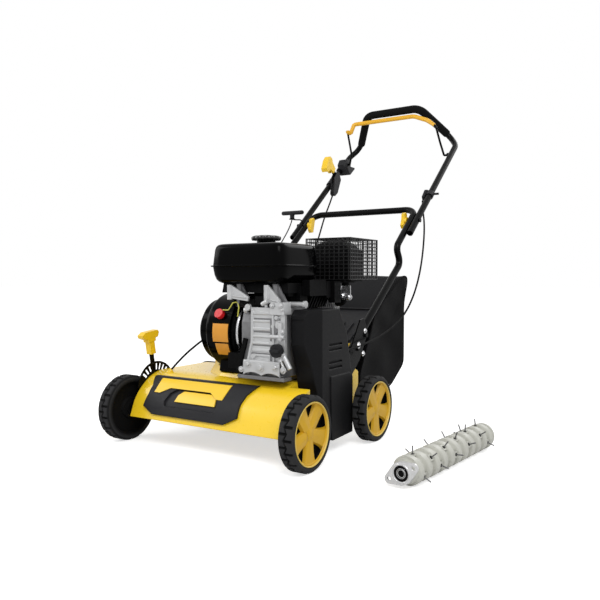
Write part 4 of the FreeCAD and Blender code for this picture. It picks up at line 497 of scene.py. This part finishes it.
def tankCap():   # the rim swells and sinks twelve times round, and the crown is dished
    low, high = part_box("fuel_cap")
    centre = (low + high) / 2
    tall = high.z - low.z
    radius = (high.x - low.x) / 2 - 0.0015
    rows = [(0.0, radius - 0.008), (0.0006, radius - 0.0025), (0.003, radius - 0.0008), (tall * 0.5, radius),
            (tall * 0.72, radius - 0.001), (tall * 0.86, radius - 0.005), (tall * 0.92, radius - 0.011),
            (tall * 0.8, radius - 0.015), (tall * 0.8, radius - 0.019), (tall * 0.99, radius - 0.023),
            (tall, radius - 0.027), (tall, 0.0)]

    def lobes(angle, along):
        swell = np.cos(tankSize["capLobes"] * angle)
        return tankSize["lobeDepth"] * np.sign(swell) * np.abs(swell) ** 0.5 * (along < tall * 0.8)

    rim = lathe(rows, (centre.x, centre.y, low.z), (0, 0, 1), 144, wave=lobes)
    under = lathe([(0.0, 0.0), (0.0, radius - 0.008)], (centre.x, centre.y, low.z), (0, 0, 1), 144)
    return piece("tankCap", [rim, under], "tank_cap", capBlack, replaces=("fuel_cap",))


tankShell()
tankCap()
print("fuel tank")


# Muffler guard

guardSize = {"bar": 0.0022, "wall": 0.0016, "corner": 0.010, "levels": 12, "across": 10, "along": 18}
mufflerSize = {"x": (120.0, 233.0), "y": (304.0, 402.0), "z": (438.0, 553.0), "power": 6}


def guardShell():
    # Each side is a sheet whose openings leave upright and level bars; the level bars wrap the corners.
    low, high = (np.array(corner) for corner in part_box("muffler_guard"))
    parts = []
    bar, wall = guardSize["bar"], guardSize["wall"]
    for level in np.linspace(0.0, 1.0, guardSize["levels"]):
        z = low[2] + level * (high[2] - low[2] - bar)
        c = guardSize["corner"] if level > 0.9 else 0.004
        ring = np.array([(low[0] + c, low[1]), (high[0] - c, low[1]), (high[0], low[1] + c),
                         (high[0], high[1] - c), (high[0] - c, high[1]), (low[0] + c, high[1]),
                         (low[0], high[1] - c), (low[0], low[1] + c)])
        inward = ring.mean(0) - ring
        inner = ring + inward / np.linalg.norm(inward, axis=1)[:, None] * wall * 1.6
        rows = [np.c_[line, np.full(8, height)] for line, height in
                ((ring, z), (ring, z + bar), (inner, z + bar), (inner, z))]
        parts.append(grid(np.array(rows), closeU=True, closeV=True))
    for x in np.linspace(low[0] + 0.004, high[0] - 0.004 - bar, guardSize["across"]):
        for y in (low[1], high[1] - wall):
            parts.append(box3((x, y, low[2]), (x + bar, y + wall, high[2])))
        parts.append(box3((x, low[1], high[2] - wall), (x + bar, high[1], high[2])))
    for y in np.linspace(low[1] + 0.004, high[1] - 0.004 - bar, guardSize["along"]):
        for x in (low[0], high[0] - wall):
            parts.append(box3((x, y, low[2]), (x + wall, y + bar, high[2])))
        parts.append(box3((low[0], y, high[2] - wall), (high[0], y + bar, high[2])))
    return piece("guardShell", parts, "machine", guardBlack, smooth=30,
                 replaces=("muffler_guard",))


def mufflerShell():
    # A can with rounded shoulders and a seam round its middle, in millimetres.
    (x0, x1), (y0, y1), (z0, z1) = (mufflerSize[way] for way in "xyz")
    levels = [(40, z0), (12, z0), (3, z0 + 6), (0, z0 + 16), (0, 488), (-1, 490), (-1, 493), (0, 495),
              (0, z1 - 24), (4, z1 - 13), (12, z1 - 5), (24, z1), (40, z1)]
    shell = can(levels, (x0 + x1) / 2, (y0 + y1) / 2, (x1 - x0) / 2, (y1 - y0) / 2, mufflerSize["power"], 96)
    return piece("mufflerShell", grid(shell / 1000 + spot(0, 0, 0), closeU=True), "machine", darkSteel,
                 smooth=50)


guardShell()
mufflerShell()
print("muffler and guard")


# Engine dressing, all in millimetres

caseSize = {
    "front": 59.5, "proud": 2.5, "rib": 2.2, "ribs": (362, 342, 322, 303, 286, 268, 255, 244),
    "wideRibs": (362, 322, 268),
    # x, z, radius and height of each round boss
    "bosses": ((182, 333, 8, 9), (163, 330, 4, 7), (182, 271, 19, 6), (104, 252, 6, 8), (158, 288, 5, 6),
               (176, 352, 5, 9)),
    "blocks": ((186, 200, 55, 66, 246, 378), (158, 201, 50, 84, 360, 390), (52, 66, 58, 66, 208, 226),
               (66, 88, 56, 66, 206, 214)),
    "blockSkews": (1, 2, 1, 1),
    # both ends and the radius of each bar
    "rods": (((160, 51, 305), (201, 51, 305), 5.2), ((188, 51, 296), (188, 51, 340), 5.5),
             ((193, 57, 262), (214, 57, 226), 6.2), ((182, 57, 250), (200, 57, 218), 5.0),
             ((171, 106, 384), (226, 106, 384), 6.8), ((222, 106, 384), (230, 106, 384), 9.5),
             ((172, 92, 384), (180, 92, 384), 10.0), ((88, 60, 376), (88, 50, 376), 8.5),
             ((136, 66, 376), (136, 66, 402), 4.5), ((66, 74, 368), (80, 70, 368), 9.0),
             ((126, 62, 384), (142, 62, 392), 6.0)),
    # x, y, z, width over flats and height of each bolt head
    "bolts": ((93, 46, 233, 12, 6), (177, 46, 230, 12, 6), (132, 46, 226, 14, 6), (72, 46, 218, 10, 6),
              (201, 46, 224, 11, 6), (194, 52, 372, 9, 5), (194, 52, 318, 9, 5), (194, 52, 262, 9, 5),
              (165, 50, 382, 9, 5), (190, 50, 382, 9, 5)),
}


def caseFront():
    # Relief of the cast front over (x, z): a plain level, soft level bars with a flat top, an upright bar
    # on each side and round bosses, all as clipped distances to their lines. Front is towards -y.
    x = np.linspace(84, 190, 150)[:, None]
    z = np.linspace(242, 376, 190)[None, :]
    edge = np.interp(z, [242, 268, 290, 376], [84, 90, 96, 97])
    x = edge + (x - 84) / 106 * (190 - edge)
    plain = caseSize["proud"]

    def bar(distance, half, fade):
        return np.clip((half - np.abs(distance)) / fade + 1, 0, 1)

    bars = [(plain + caseSize["rib"] * bar(z - level, 2.6 if level in caseSize["wideRibs"] else 1.5, 1.6)
             * bar(x - 130, 30, 2.0)) for level in caseSize["ribs"]]
    bars += [(plain + 5.0) * bar(x - 166 + 0.02 * (z - 300), 2.5, 2.5),
             (plain + 3.0) * bar(x - edge - 3, 3, 2),
             (plain + 6.5) * bar(z - 367, 8, 2) * bar(x - 172, 16, 2)]
    bosses = [height * np.clip((radius - np.hypot(x - bx, z - bz)) / 1.5 + 1, 0, 1)
              for bx, bz, radius, height in caseSize["bosses"]]
    proud = np.maximum.reduce([np.full(x.shape, plain)] + bars + bosses)
    points = np.stack([x, caseSize["front"] - proud, np.broadcast_to(z, x.shape)], -1)
    rim = points.copy()
    rim[..., 1] = caseSize["front"] + 3
    closed = np.concatenate([rim[:1], points, rim[-1:]])
    side = np.concatenate([rim[:, :1], rim[:, -1:]], 1)
    side = np.concatenate([side[:1], side, side[-1:]])
    closed = np.concatenate([side[:, :1], closed, side[:, 1:]], 1)
    parts = [grid(closed / 1000 + spot(0, 0, 0))]
    parts += [block(*limits, skew) for limits, skew in zip(caseSize["blocks"], caseSize["blockSkews"])]
    parts += [rod(place(*first), place(*last), radius / 1000) for first, last, radius in caseSize["rods"]]
    # The feet are a flange whose lower edge rises and falls as the sine's size over x.
    across = np.linspace(78, 190, 60)
    low = 205 + 8 * np.abs(np.sin((across - 78) / 112 * math.pi * 2.0)) ** 0.7
    rows = [np.stack(np.broadcast_arrays(across, y, height), 1)
            for y, height in ((64, 243.0), (49, 243.0), (46, 240.0), (46, low), (64, low))]
    parts.append(grid(np.stack(rows) / 1000 + spot(0, 0, 0), closeU=True))
    for bx, by, bz, flats, height in caseSize["bolts"]:
        parts += hexBolt(place(bx, by, bz), (0, -1, 0), flats / 1000, height / 1000)
    return piece("caseFront", parts, "machine", castSilver, smooth=32)


webSize = {"webs": ((16, 78, 432, 398), (134, 176, 432, 390)), "y": 72, "thick": 0.006, "boss": 0.0075,
           "rib": 0.0022}   # a web is its upright edge, its point, its top and its lower corner


def tankWebs():   # three-cornered cast webs that carry the tank, each with a round boss on its upright edge
    parts, y = [], webSize["y"]
    for x0, x1, top, low in webSize["webs"]:
        corners = ((x0, y, top), (x0 + 6, y, top), (x1, y, low + 4), (x1 - 3, y, low - 7), (x0, y, low))
        parts.append(slab([place(*corner) for corner in corners], webSize["thick"]))
        parts.append(rod(place(x0, y - 1, low - 4), place(x0, y - 1, top + 1), webSize["boss"]))
        parts.append(rod(place(x0 + 10, y - 3, low + 6), place(x1 - 8, y - 3, low + 2), webSize["rib"]))
    return piece("tankWebs", parts, "machine", castSilver, smooth=32)


fittingSize = {
    "strut": ((78, 57, 296), (74, 57, 280), (62, 57, 240), (54, 57, 206)), "strutHalf": (0.006, 0.003),
    "rods": (((52, 58, 216), (70, 58, 204), 6.0), ((60, 66, 384), (96, 62, 362), 4.5)),
    # limits and edge slope of each housing under the tank and the muffler
    "blocks": ((30, 92, 76, 92, 376, 396, 2), (92, 128, 76, 88, 380, 404, 2),
               (146, 196, 132, 168, 392, 430, 4), (58, 178, 118, 166, 377, 433, 2),
               (100, 184, 96, 118, 404, 433, 2), (-24, 188, 88, 236, 412, 438, 3),
               (188, 214, 150, 236, 404, 446, 2), (204, 224, 262, 296, 384, 442, 2),
               (150, 214, 236, 262, 398, 442, 2)),
    "fins": 7, "firstFin": 168, "finGap": 14,
}


def darkFittings():
    # The black strut, throttle plate and shroud between fan casing, case and tank.
    wide, thin = fittingSize["strutHalf"]
    strut = carry([place(*point) for point in fittingSize["strut"]],
                  [(-wide, -thin), (wide, -thin), (wide, thin), (-wide, thin)])
    parts = [strut] + [block(*limits) for limits in fittingSize["blocks"]]
    parts += [rod(place(*first), place(*last), radius / 1000) for first, last, radius in fittingSize["rods"]]
    for step in range(fittingSize["fins"]):   # slanting cooling fins beside the cylinder
        y = fittingSize["firstFin"] + step * fittingSize["finGap"]
        parts.append(slab([place(184, y, 374), place(184, y + 40, 426), place(198, y + 40, 426),
                           place(198, y, 374)], 0.004))
    return piece("darkFittings", parts, "machine", darkSteel, smooth=30)


fanSize = {"y": 175, "z": 305, "ringX": 19.6, "inner": 104.2, "outer": 105.0,
           "plates": ((-44, 8, 13.5, -13.5), (-38, 6, -16, -35))}   # x limits, then first and last turn


def fanRing():   # bright rim of the fan's back plate
    ring = lathe([(0, 0.0740), (0.0042, 0.0748), (0.0060, 0.0775), (0.0060, 0.0835), (0.0030, 0.0860),
                  (0, 0.0862)],
                 place(fanSize["ringX"], fanSize["y"], fanSize["z"]), (1, 0, 0), 120)
    return piece("fanRing", ring, "machine", brightSteel, smooth=40)


def fanPlates():   # two bare plates bent to the fan casing's round side: (x, turn) nets at two radii
    parts = []
    for x0, x1, first, last in fanSize["plates"]:
        x = np.linspace(x0, x1, 12)[:, None]
        turn = np.radians(np.linspace(first, last, 24))[None, :]
        inside, outside = (np.stack(np.broadcast_arrays(x, fanSize["y"] - radius * np.cos(turn),
                                                        fanSize["z"] + radius * np.sin(turn)), -1)
                           for radius in (fanSize["inner"], fanSize["outer"]))
        wrap = np.concatenate([inside[:1], outside, inside[-1:]])
        left = np.concatenate([inside[:1, :1], inside[:, :1], inside[-1:, :1]])
        right = np.concatenate([inside[:1, -1:], inside[:, -1:], inside[-1:, -1:]])
        parts.append(grid(np.concatenate([left, wrap, right], 1) / 1000 + spot(0, 0, 0)))
    return piece("fanPlates", parts, "machine", labelOrange, smooth=50)


leadSize = {"radius": 0.0016, "bends": (0.006, 0.006, 0.005, 0.006),
            "route": ((-14, 78, 366), (8, 74, 366), (22, 76, 386), (36, 78, 388), (43, 74, 374),
                      (42, 70, 350))}


def switchLead():   # thin lead from the switch over the fan casing
    path = roundPath([place(*point) for point in leadSize["route"]], leadSize["bends"], 0.002)
    return piece("switchLead", carry(path, circle(leadSize["radius"], 10)), "machine", leadYellow)


boltSize = {"muffler": ((226, 300, 402), (246, 300, 398), (212, 302, 424)),
            "bracketFace": 247.4,
            "bracket": ((357, 262, 12), (396, 300, 10), (384, 236, 10))}   # y, z and flats


def mufflerFixings():   # bolts, clamp and outlet below the muffler
    parts = [rod(place(200, 306, 398), place(252, 306, 398), 0.0045),
             block(206, 250, 303, 306, 392, 430, 0.5)]
    for centre in boltSize["muffler"]:
        parts += hexBolt(place(*centre), (0, -1, 0), 0.013, 0.007)
    return piece("mufflerFixings", parts, "machine", brightSteel, smooth=30)


def bracketBolts():   # zinc hexagon heads on the left handle bracket
    bolts = []
    for y, z, flats in boltSize["bracket"]:
        bolts += hexBolt(place(boltSize["bracketFace"], y, z), (1, 0, 0), flats / 1000, 0.005)
    return piece("bracketBolts", bolts, "machine", brightSteel)


def coverLiner():   # a thin dark sheet behind the louvres of the belt cover: painted shade for the dark inside of the cover
    return piece("coverLiner", block(260.5, 261.7, 158, 230, 212, 284, 0.2), "machine", darkSteel)


for dress in (caseFront, tankWebs, darkFittings, fanRing, fanPlates, switchLead, mufflerFixings, bracketBolts,
              coverLiner):
    dress()
print("engine dressing")


# Bail and grip

bailSize = {"rod": 0.004, "sleeve": 0.0084, "reach": 0.108, "pivot": (0, 1150, 923), "side": 205,
            "pinEnd": 221,
            "corners": ((-205, 0, 0), (-193, -6, 42), (-184, -66, 142), (-161, -32, 158), (92, -30, 158),
                        (150, -34, 134), (189, -48, 104), (197, -22, 46), (205, 0, 0)),
            "bends": (0.06, 0.014, 0.014, 0.06, 0.06, 0.014, 0.06)}
gripSize = {"corners": ((-200, 1240, 1008), (-112, 1126, 1110), (112, 1126, 1110), (200, 1240, 1008)),
            "bends": (0.05, 0.05), "radius": 0.0150, "swell": 0.00035, "pull": 0.0036, "bare": 0.115}


def runLength(line):   # distance along a line at each of its points
    return np.concatenate([[0], np.cumsum(np.linalg.norm(np.diff(line, axis=0), axis=1))])


def bailPieces():
    # The sleeve's radius over share s of its length falls off at both ends as exp(-s / 0.012).
    start = place(*bailSize["pivot"])
    corners = [start + np.array(corner) / 1000 for corner in bailSize["corners"]]
    path = roundPath(corners, bailSize["bends"], 0.004)
    rods = [carry(path, circle(bailSize["rod"], 14))]
    rods += [rod(start + [side * bailSize["side"] / 1000, 0, 0],
                 start + [side * bailSize["pinEnd"] / 1000, 0, 0], bailSize["rod"]) for side in (-1, 1)]
    piece("bailRods", rods, "bail", blackSteel)
    covered = path[path[:, 2] > start[2] + bailSize["reach"]]
    share = np.linspace(0, 1, len(covered))[:, None]
    grow = 1 - 0.25 * np.exp(-share / 0.012) - 0.25 * np.exp(-(1 - share) / 0.012)
    ring = bailSize["sleeve"] * grow[..., None] * circle(1, 22)[None] * [1, 0.92]
    piece("bailSleeve", carry(covered, ring), "bail", goldSleeve,
          replaces=("operator_bail",))


def foamSleeve():
    # Grip radius over share s along the loop: full, drawn in at both ends, with a slow swell between.
    path = roundPath([place(*corner) for corner in gripSize["corners"]], gripSize["bends"], 0.004)
    first = path[0] + (path[1] - path[0]) * gripSize["bare"]
    last = path[-1] + (path[-2] - path[-1]) * gripSize["bare"]
    run = np.linspace(0, 1, 26)[:, None]
    path = np.concatenate([first + (path[1] - first) * run[:-1], path[1:-1],
                           path[-2] + (last - path[-2]) * run[1:]])
    reach = runLength(path)
    fromEnd = np.minimum(reach, reach[-1] - reach)
    radius = (gripSize["radius"] + gripSize["swell"] * np.sin(reach / reach[-1] * math.pi * 3)
              - gripSize["pull"] * np.exp(-fromEnd / 0.0018))
    item = piece("foamSleeve", carry(path, radius[:, None, None] * circle(1, 30)[None]), "folding_handle",
                 foamBlack, smooth=60, replaces=("foam_grip",))


bailPieces()
foamSleeve()
print("bail and grip")


# Grass bag

bagSize = {"sag": 9.0, "fold": 2.6, "bulge": 7, "middle": (662.0, 262.0), "steps": 260, "passes": 16,
           "mouth": (14, 208), "mouthWidth": 0.93, "wall": 0.0018, "piping": 0.0022,
           # y, z of the side's outline, from the mouth's foot up over the back and round
           "outline": ((463, 152), (574, 344), (776, 457), (806, 460), (826, 457), (828, 440), (797, 366),
                       (797, 160), (692, 97), (560, 79), (480, 104), (463, 152))}


def bagRing():
    # The outline read at even steps, each pass giving p / 2 + (before + after) / 4, and its outward way.
    outline = np.array(bagSize["outline"], float)
    reach = runLength(outline)
    at = np.linspace(0, reach[-1], bagSize["steps"], endpoint=False)
    ring = np.stack([np.interp(at, reach, outline[:, 0]), np.interp(at, reach, outline[:, 1])], 1)
    for _ in range(bagSize["passes"]):
        ring = ring * 0.5 + (np.roll(ring, 1, 0) + np.roll(ring, -1, 0)) * 0.25
    tangent = np.roll(ring, -1, 0) - np.roll(ring, 1, 0)
    out = np.stack([-tangent[:, 1], tangent[:, 0]], 1)
    return at, ring, out / np.linalg.norm(out, axis=1)[:, None]


def bagShell(half):
    # The ring is carried across the width. Towards each side it is drawn in to the panel's middle, and the
    # panel hollows and folds: a sum of slanting waves over (y, z).
    at, ring, out = bagRing()
    middleY, middleZ = bagSize["middle"]
    panel = [(share, 1.0) for share in (*np.linspace(0, 0.955, 18), 0.975, 0.99, 1.0)]
    wrap = [(1.0, share) for share in (0.985, 0.955, 0.9, 0.8, 0.65, 0.45, 0.22, 0.0)]
    rows = panel + wrap
    rows = np.array(rows + [(share, -width) for share, width in rows[-2::-1]])
    scale, width = rows[:, :1], rows[:, 1:]
    y = middleY + (ring[None, :, 0] - middleY) * scale
    z = middleZ + (ring[None, :, 1] - middleZ) * scale
    rounding = np.clip((scale - 0.93) / 0.07, 0, 1) ** 2 * 7
    wave = (np.sin((y * 0.8 + z) / 23 + 1.2 * np.sin(z / 60)) + 0.7 * np.sin((z * 0.7 - y) / 31 + 2.0)
            + 0.5 * np.sin((y + 2 * z) / 57))
    hollow = bagSize["sag"] * np.cos(np.clip(scale, 0, 1) * math.pi / 2)
    onPanel = np.clip((1 - scale) * 14, 0, 1)
    x = width * half - np.sign(width) * (rounding * (np.abs(width) > 0.97) + hollow
                                         + bagSize["fold"] * (wave * 0.5 + 1.1) * onPanel)
    creep = np.sin(width * 9 + at[None, :] / 47) * 1.2 - 0.8 - 4.0 * (1 - width ** 2) * (z < 140)
    creep = creep * (scale > 0.98)
    points = np.stack([x, y + creep * out[None, :, 0] * 0.8, z + creep * out[None, :, 1] * 0.8], -1)
    points, faces = grid(points / 1000 + spot(0, 0, 0), closeV=True)
    first, last = bagSize["mouth"]
    rowOpen = (rows[:, 0] > 0.995) & (np.abs(rows[:, 1]) < bagSize["mouthWidth"])
    mouth = (rowOpen[:-1] & rowOpen[1:])[:, None] & ((at > first) & (at < last))[None, :]
    item = piece("bagShell", (points, faces[~mouth.ravel()]), "bag", bagCloth, smooth=60,
                 replaces=("grass_bag",))
    wall = item.modifiers.new("wall", "SOLIDIFY")
    wall.thickness = bagSize["wall"]
    wall.offset = -1
    spots = (pointsOf(item) - spot(0, 0, 0)) * 1000
    # Painted light: the top, facing up, away from the side panels, takes the lighter second colour.
    litTop = (spots[:, 2] > 344 + (spots[:, 1] - 574) * 0.552 - 14) & (np.abs(spots[:, 0]) < half - 9)
    markPaintedShading(item, litTop * 1.0)


def bagPiping(half):   # a round cord sewn along each side's outline
    _, ring, out = bagRing()
    across, about, seams = np.array([1.0, 0, 0]), circle(bagSize["piping"], 8)[None], []
    for side in (-1, 1):
        line = np.insert(ring - out * 1.2, 0, side * (half - 3.5), axis=1) / 1000 + spot(0, 0, 0)
        ahead = np.roll(line, -1, 0) - np.roll(line, 1, 0)
        up = np.cross(ahead / np.linalg.norm(ahead, axis=1)[:, None], across)
        seams.append(grid(line[:, None] + about[..., :1] * across + about[..., 1:] * up[:, None],
                          closeU=True, closeV=True))
    piece("bagPiping", seams, "bag", bagCloth, smooth=60)


bagLow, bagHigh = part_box("grass_bag")
bagHalf = (bagHigh.x - bagLow.x) * 500 + bagSize["bulge"]
bagShell(bagHalf)
bagPiping(bagHalf)
print("grass bag")


# Cables and starter rope

# Each line: its route's control points, radius, the two bodies that it joins, where its stretch on the second
# one starts and ends, and the node that it stands for.
lines = {
    "liftCable": {
        "route": ((-212, 1017, 783), (-207, 985, 746), (-199, 930, 688), (-188, 872, 612), (-178, 800, 520),
                  (-172, 690, 436), (-168, 570, 374), (-164, 450, 332), (-160, 330, 308), (-162, 240, 300),
                  (-178, 168, 262), (-200, 118, 222), (-214, 92, 190)),
        "radius": 0.003, "bodies": ("machine", "folding_handle"), "start": (-172, 690, 436),
        "end": (-199, 960, 700), "replaces": ("control_cables",)},
    "clutchCable": {
        "route": ((216, 905, 724), (220, 899, 690), (228, 896, 640), (231, 880, 560), (234, 845, 476),
                  (240, 780, 398), (244, 690, 332), (246, 570, 292), (246, 470, 272), (250, 380, 262),
                  (250, 320, 256), (246, 270, 252)),
        "radius": 0.003, "bodies": ("machine", "folding_handle"), "start": (244, 690, 332),
        "end": (222, 900, 690), "replaces": ()},
    "starterRope": {
        "route": ((-218, 729, 668.3), (-216, 716, 640), (-196, 610, 560), (-160, 470, 462), (-112, 300, 404),
                  (-92, 262, 364)),
        "radius": 0.002, "bodies": ("machine", "starter"), "start": (-92, 262, 364),
        "end": (-218, 729, 668.3), "replaces": ("starter_rope",)},
}


def flexible(name, line):
    # A NURBS curve through the route's control points with a round section, made a mesh.
    curve = bpy.data.curves.new(name + "Line", "CURVE")
    curve.dimensions = "3D"
    spline = curve.splines.new("NURBS")
    spline.points.add(len(line["route"]) - 1)
    spline.points.foreach_set("co", [value for point in line["route"] for value in (*place(*point), 1)])
    spline.order_u = 3
    spline.use_endpoint_u = True
    spline.resolution_u = 8
    curve.bevel_depth = line["radius"]
    curve.bevel_resolution = 3
    curve.use_fill_caps = True
    holder = linked(name + "Line", curve)
    bpy.context.view_layer.update()
    mesh = bpy.data.meshes.new_from_object(holder.evaluated_get(bpy.context.evaluated_depsgraph_get()))
    bpy.data.objects.remove(holder)
    mesh.name = name
    mesh.materials.clear()
    mesh.materials.append(wornRubber)
    mesh.polygons.foreach_set("use_smooth", [True] * len(mesh.polygons))
    item = linked(name, mesh)
    if line["replaces"]:
        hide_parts(*line["replaces"])
    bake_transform(item)


for lineName, line in lines.items():
    flexible(lineName, line)
print("cables and rope")


# Loose roller

rollerSize = {"centre": (556, 224, 34.5), "turn": -5.8, "half": 221, "core": 0.0245, "rim": 0.0338,
              "discs": 11, "wander": 0.0060, "shaft": 0.0075, "bore": 0.0076, "clip": 0.0078,
              "clipThick": 0.0035, "bolt": 0.0042, "clipRadius": 0.0288}


def rollerPoint(across, along, up):   # millimetres in the roller's own directions
    lean = math.radians(rollerSize["turn"])
    x, y, z = rollerSize["centre"]
    return place(x + across * math.cos(lean) - along * math.sin(lean),
                 y + across * math.sin(lean) + along * math.cos(lean), z + up)


rollerWay = rollerPoint(0, 1000, 0) - rollerPoint(0, 0, 0)
discGap = (2 * rollerSize["half"] - 60) / (rollerSize["discs"] - 1)


def rollerShell():
    # Radius over (distance along, turn): a plain core on which rounded discs stand, each tilted, so its
    # middle wanders along the axis with the cosine of the turn. A low ring stands between two discs.
    half, bore, shaft = rollerSize["half"], rollerSize["bore"], rollerSize["shaft"]
    length = 2 * half / 1000
    along = np.concatenate([[0.0, 0.0], np.linspace(0.0005, length - 0.018, 330), [length - 0.0175] * 2])
    base = np.full(len(along), rollerSize["core"])
    base[[0, -1]] = bore

    def discs(angle, distance):
        shift = rollerSize["wander"] * np.cos(angle - 1.57)
        share = (distance - 0.013 - shift) / (discGap / 1000)
        inRange = np.clip((share + 0.5) * 6, 0, 1) * np.clip((rollerSize["discs"] - 0.5 - share) * 6, 0, 1)
        off = np.abs(share - np.round(share))
        disc = np.clip((0.31 - off) / 0.10, 0, 1)
        disc = disc * disc * (3 - 2 * disc)
        lowRing = np.clip((0.10 - np.abs(off - 0.5)) / 0.1, 0, 1) * 0.45
        return (rollerSize["rim"] - rollerSize["core"]) * np.maximum(disc, lowRing) * inRange

    shell = lathe(np.stack([along, base], 1), rollerPoint(0, -half + 17, 0), rollerWay, 110, wave=discs)
    end = lathe([(0, bore), (0, 0.0300), (0.001, 0.0318), (0.0075, 0.0318), (0.0085, 0.0305), (0.0085, bore)],
                rollerPoint(0, half - 16, 0), rollerWay, 72)
    cup = lathe([(-0.012, 0.0225), (-0.012, 0.0255), (0.0, 0.0285), (0.004, 0.0285), (0.004, bore)],
                rollerPoint(0, -half + 19, 0), rollerWay, 72)
    bar = lathe([(0, 0), (0, shaft - 0.0007), (0.0007, shaft), (length + 0.0113, shaft),
                 (length + 0.012, shaft - 0.0007), (length + 0.012, 0)],
                rollerPoint(0, -half + 0.5, 0), rollerWay, 40)
    piece("rollerShaft", bar, "spare_roller", brightSteel)
    piece("rollerShell", [shell, end, cup], "spare_roller", paleNylon, smooth=60,
          replaces=("roller_body",))


def rollerClips():   # a square plate with a dark bolt at the foot of every tine
    plates, bolts = [], []
    for step in range(rollerSize["discs"] - 1):
        for turn in (-28 + (step * 67) % 118, 92 + (step * 53) % 118):
            angle = math.radians(min(turn, 206))
            out = (rollerPoint(math.cos(angle), 0, math.sin(angle)) - rollerPoint(0, 0, 0)) * 1000
            foot = (rollerPoint(0, 30 - rollerSize["half"] + discGap * (step + 0.5), 0)
                    + out * rollerSize["clipRadius"])
            beside = np.cross(out, rollerWay)
            plates.append(slab([foot + (a * rollerWay + b * beside) * rollerSize["clip"]
                                for a, b in ((-1, -1), (1, -1), (1, 1), (-1, 1))], rollerSize["clipThick"]))
            bolts.append(rod(foot + out * 0.0010, foot + out * 0.0026, rollerSize["bolt"], 12, 0.0004))
    piece("rollerClips", plates, "spare_roller", paleNylon, smooth=30)
    piece("rollerBolts", bolts, "spare_roller", darkSteel, smooth=30)


def rollerBearing():   # bright outer ring, wide black seal, thin inner ring and the shaft's dark end
    start = rollerPoint(0, -rollerSize["half"] - 5, 0)
    race, inner, seal = (lathe(rows, start, rollerWay, 72) for rows in (
        [(0.0006, 0.0178), (-0.0004, 0.0186), (-0.0006, 0.0206), (0.0008, 0.0222), (0.004, 0.0226),
         (0.004, 0.0178)],
        [(0.0003, 0.0102), (0.0002, 0.0105), (0.0002, 0.0110), (0.0008, 0.0113), (0.004, 0.0113),
         (0.004, 0.0102)],
        [(0.0008, 0.0), (0.0008, 0.0062), (0.0018, 0.0070), (0.0006, 0.0094), (0.0006, 0.0114),
         (0.0004, 0.0122), (0.0004, 0.0172), (0.0012, 0.0180), (0.004, 0.0180), (0.004, 0.0)]))
    piece("rollerRaces", [race, inner], "spare_roller", brightSteel)
    piece("rollerSeal", seal, "spare_roller", darkSteel)


rollerShell()
rollerClips()
rollerBearing()
print("loose roller")


# Floor, light and camera

cameraSize = {"place": (1.08532, -1.26973, 0.44899), "yaw": 32.42, "pitch": 1.88, "lens": 38.96, "sensor": 36}
stageSize = {"floorHalf": 30, "floorColour": (0.80, 0.80, 0.80, 1), "floorGlow": 0.60, "worldLight": 0.55,
             "lampAim": (0, 0, 0.35),
             # place, size and power of each lamp
             "lamps": {"keyLight": ((1.6, -2.2, 2.6), 1.6, 60), "fillLight": ((-2.4, -1.4, 1.6), 1.4, 24),
                       "backLight": ((0.8, 2.6, 2.4), 1.6, 26)}}


def floorSetup():   # a matt sheet that also glows towards the camera
    half = stageSize["floorHalf"]
    mesh = bpy.data.meshes.new("floor")
    corners = [(-half, -half, 0), (half, -half, 0), (half, half, 0), (-half, half, 0)]
    mesh.from_pydata(corners, [], [(0, 1, 2, 3)])
    material = bpy.data.materials.new("paleFloor")
    material.use_nodes = True
    tree = material.node_tree
    tree.nodes.clear()
    matt = shaderNode(tree, "BsdfDiffuse", {"Color": stageSize["floorColour"]})
    seen = shaderNode(tree, "LightPath").outputs["Is Camera Ray"]
    share = shaderNode(tree, "Math", {0: seen, 1: stageSize["floorGlow"]}, operation="MULTIPLY")
    glow = shaderNode(tree, "Emission", {"Strength": share.outputs[0]})
    both = shaderNode(tree, "AddShader", {0: matt.outputs[0], 1: glow.outputs[0]})
    shaderNode(tree, "OutputMaterial", {"Surface": both.outputs[0]})
    mesh.materials.append(material)
    linked("floor", mesh)


def worldSetup():   # soft light all round, white where the camera, a gloss or a clear ray sees it
    world = bpy.data.worlds.new("studio")
    bpy.context.scene.world = world
    world.use_nodes = True
    tree = world.node_tree
    path = shaderNode(tree, "LightPath").outputs
    seen = shaderNode(tree, "Math", {0: path["Is Camera Ray"], 1: path["Is Transmission Ray"]},
                      operation="MAXIMUM")
    both = shaderNode(tree, "Math", {0: seen.outputs[0], 1: path["Is Glossy Ray"]}, operation="MAXIMUM")
    level = shaderNode(tree, "MapRange",
                       {"Value": both.outputs[0], "To Min": stageSize["worldLight"], "To Max": 1.0})
    feed(tree, tree.nodes["Background"], {"Color": (1, 1, 1, 1), "Strength": level.outputs["Result"]})


def stageSetup():
    floorSetup()
    worldSetup()
    aim = Vector(stageSize["lampAim"])
    for name, (where, size, power) in stageSize["lamps"].items():
        lamp = bpy.data.lights.new(name, "AREA")
        lamp.size, lamp.energy = size, power
        item = linked(name, lamp)
        item.location = where
        item.rotation_euler = (aim - Vector(where)).to_track_quat("-Z", "Y").to_euler()
    view = bpy.data.cameras.new("camera")
    view.lens, view.sensor_width = cameraSize["lens"], cameraSize["sensor"]
    camera = linked("camera", view)
    camera.location = spot(*cameraSize["place"])
    camera.rotation_euler = (math.radians(90 - cameraSize["pitch"]), 0, math.radians(cameraSize["yaw"]))
    bpy.context.scene.camera = camera
    bpy.context.scene.view_settings.view_transform = "Standard"


stageSetup()
print("floor, light and camera")
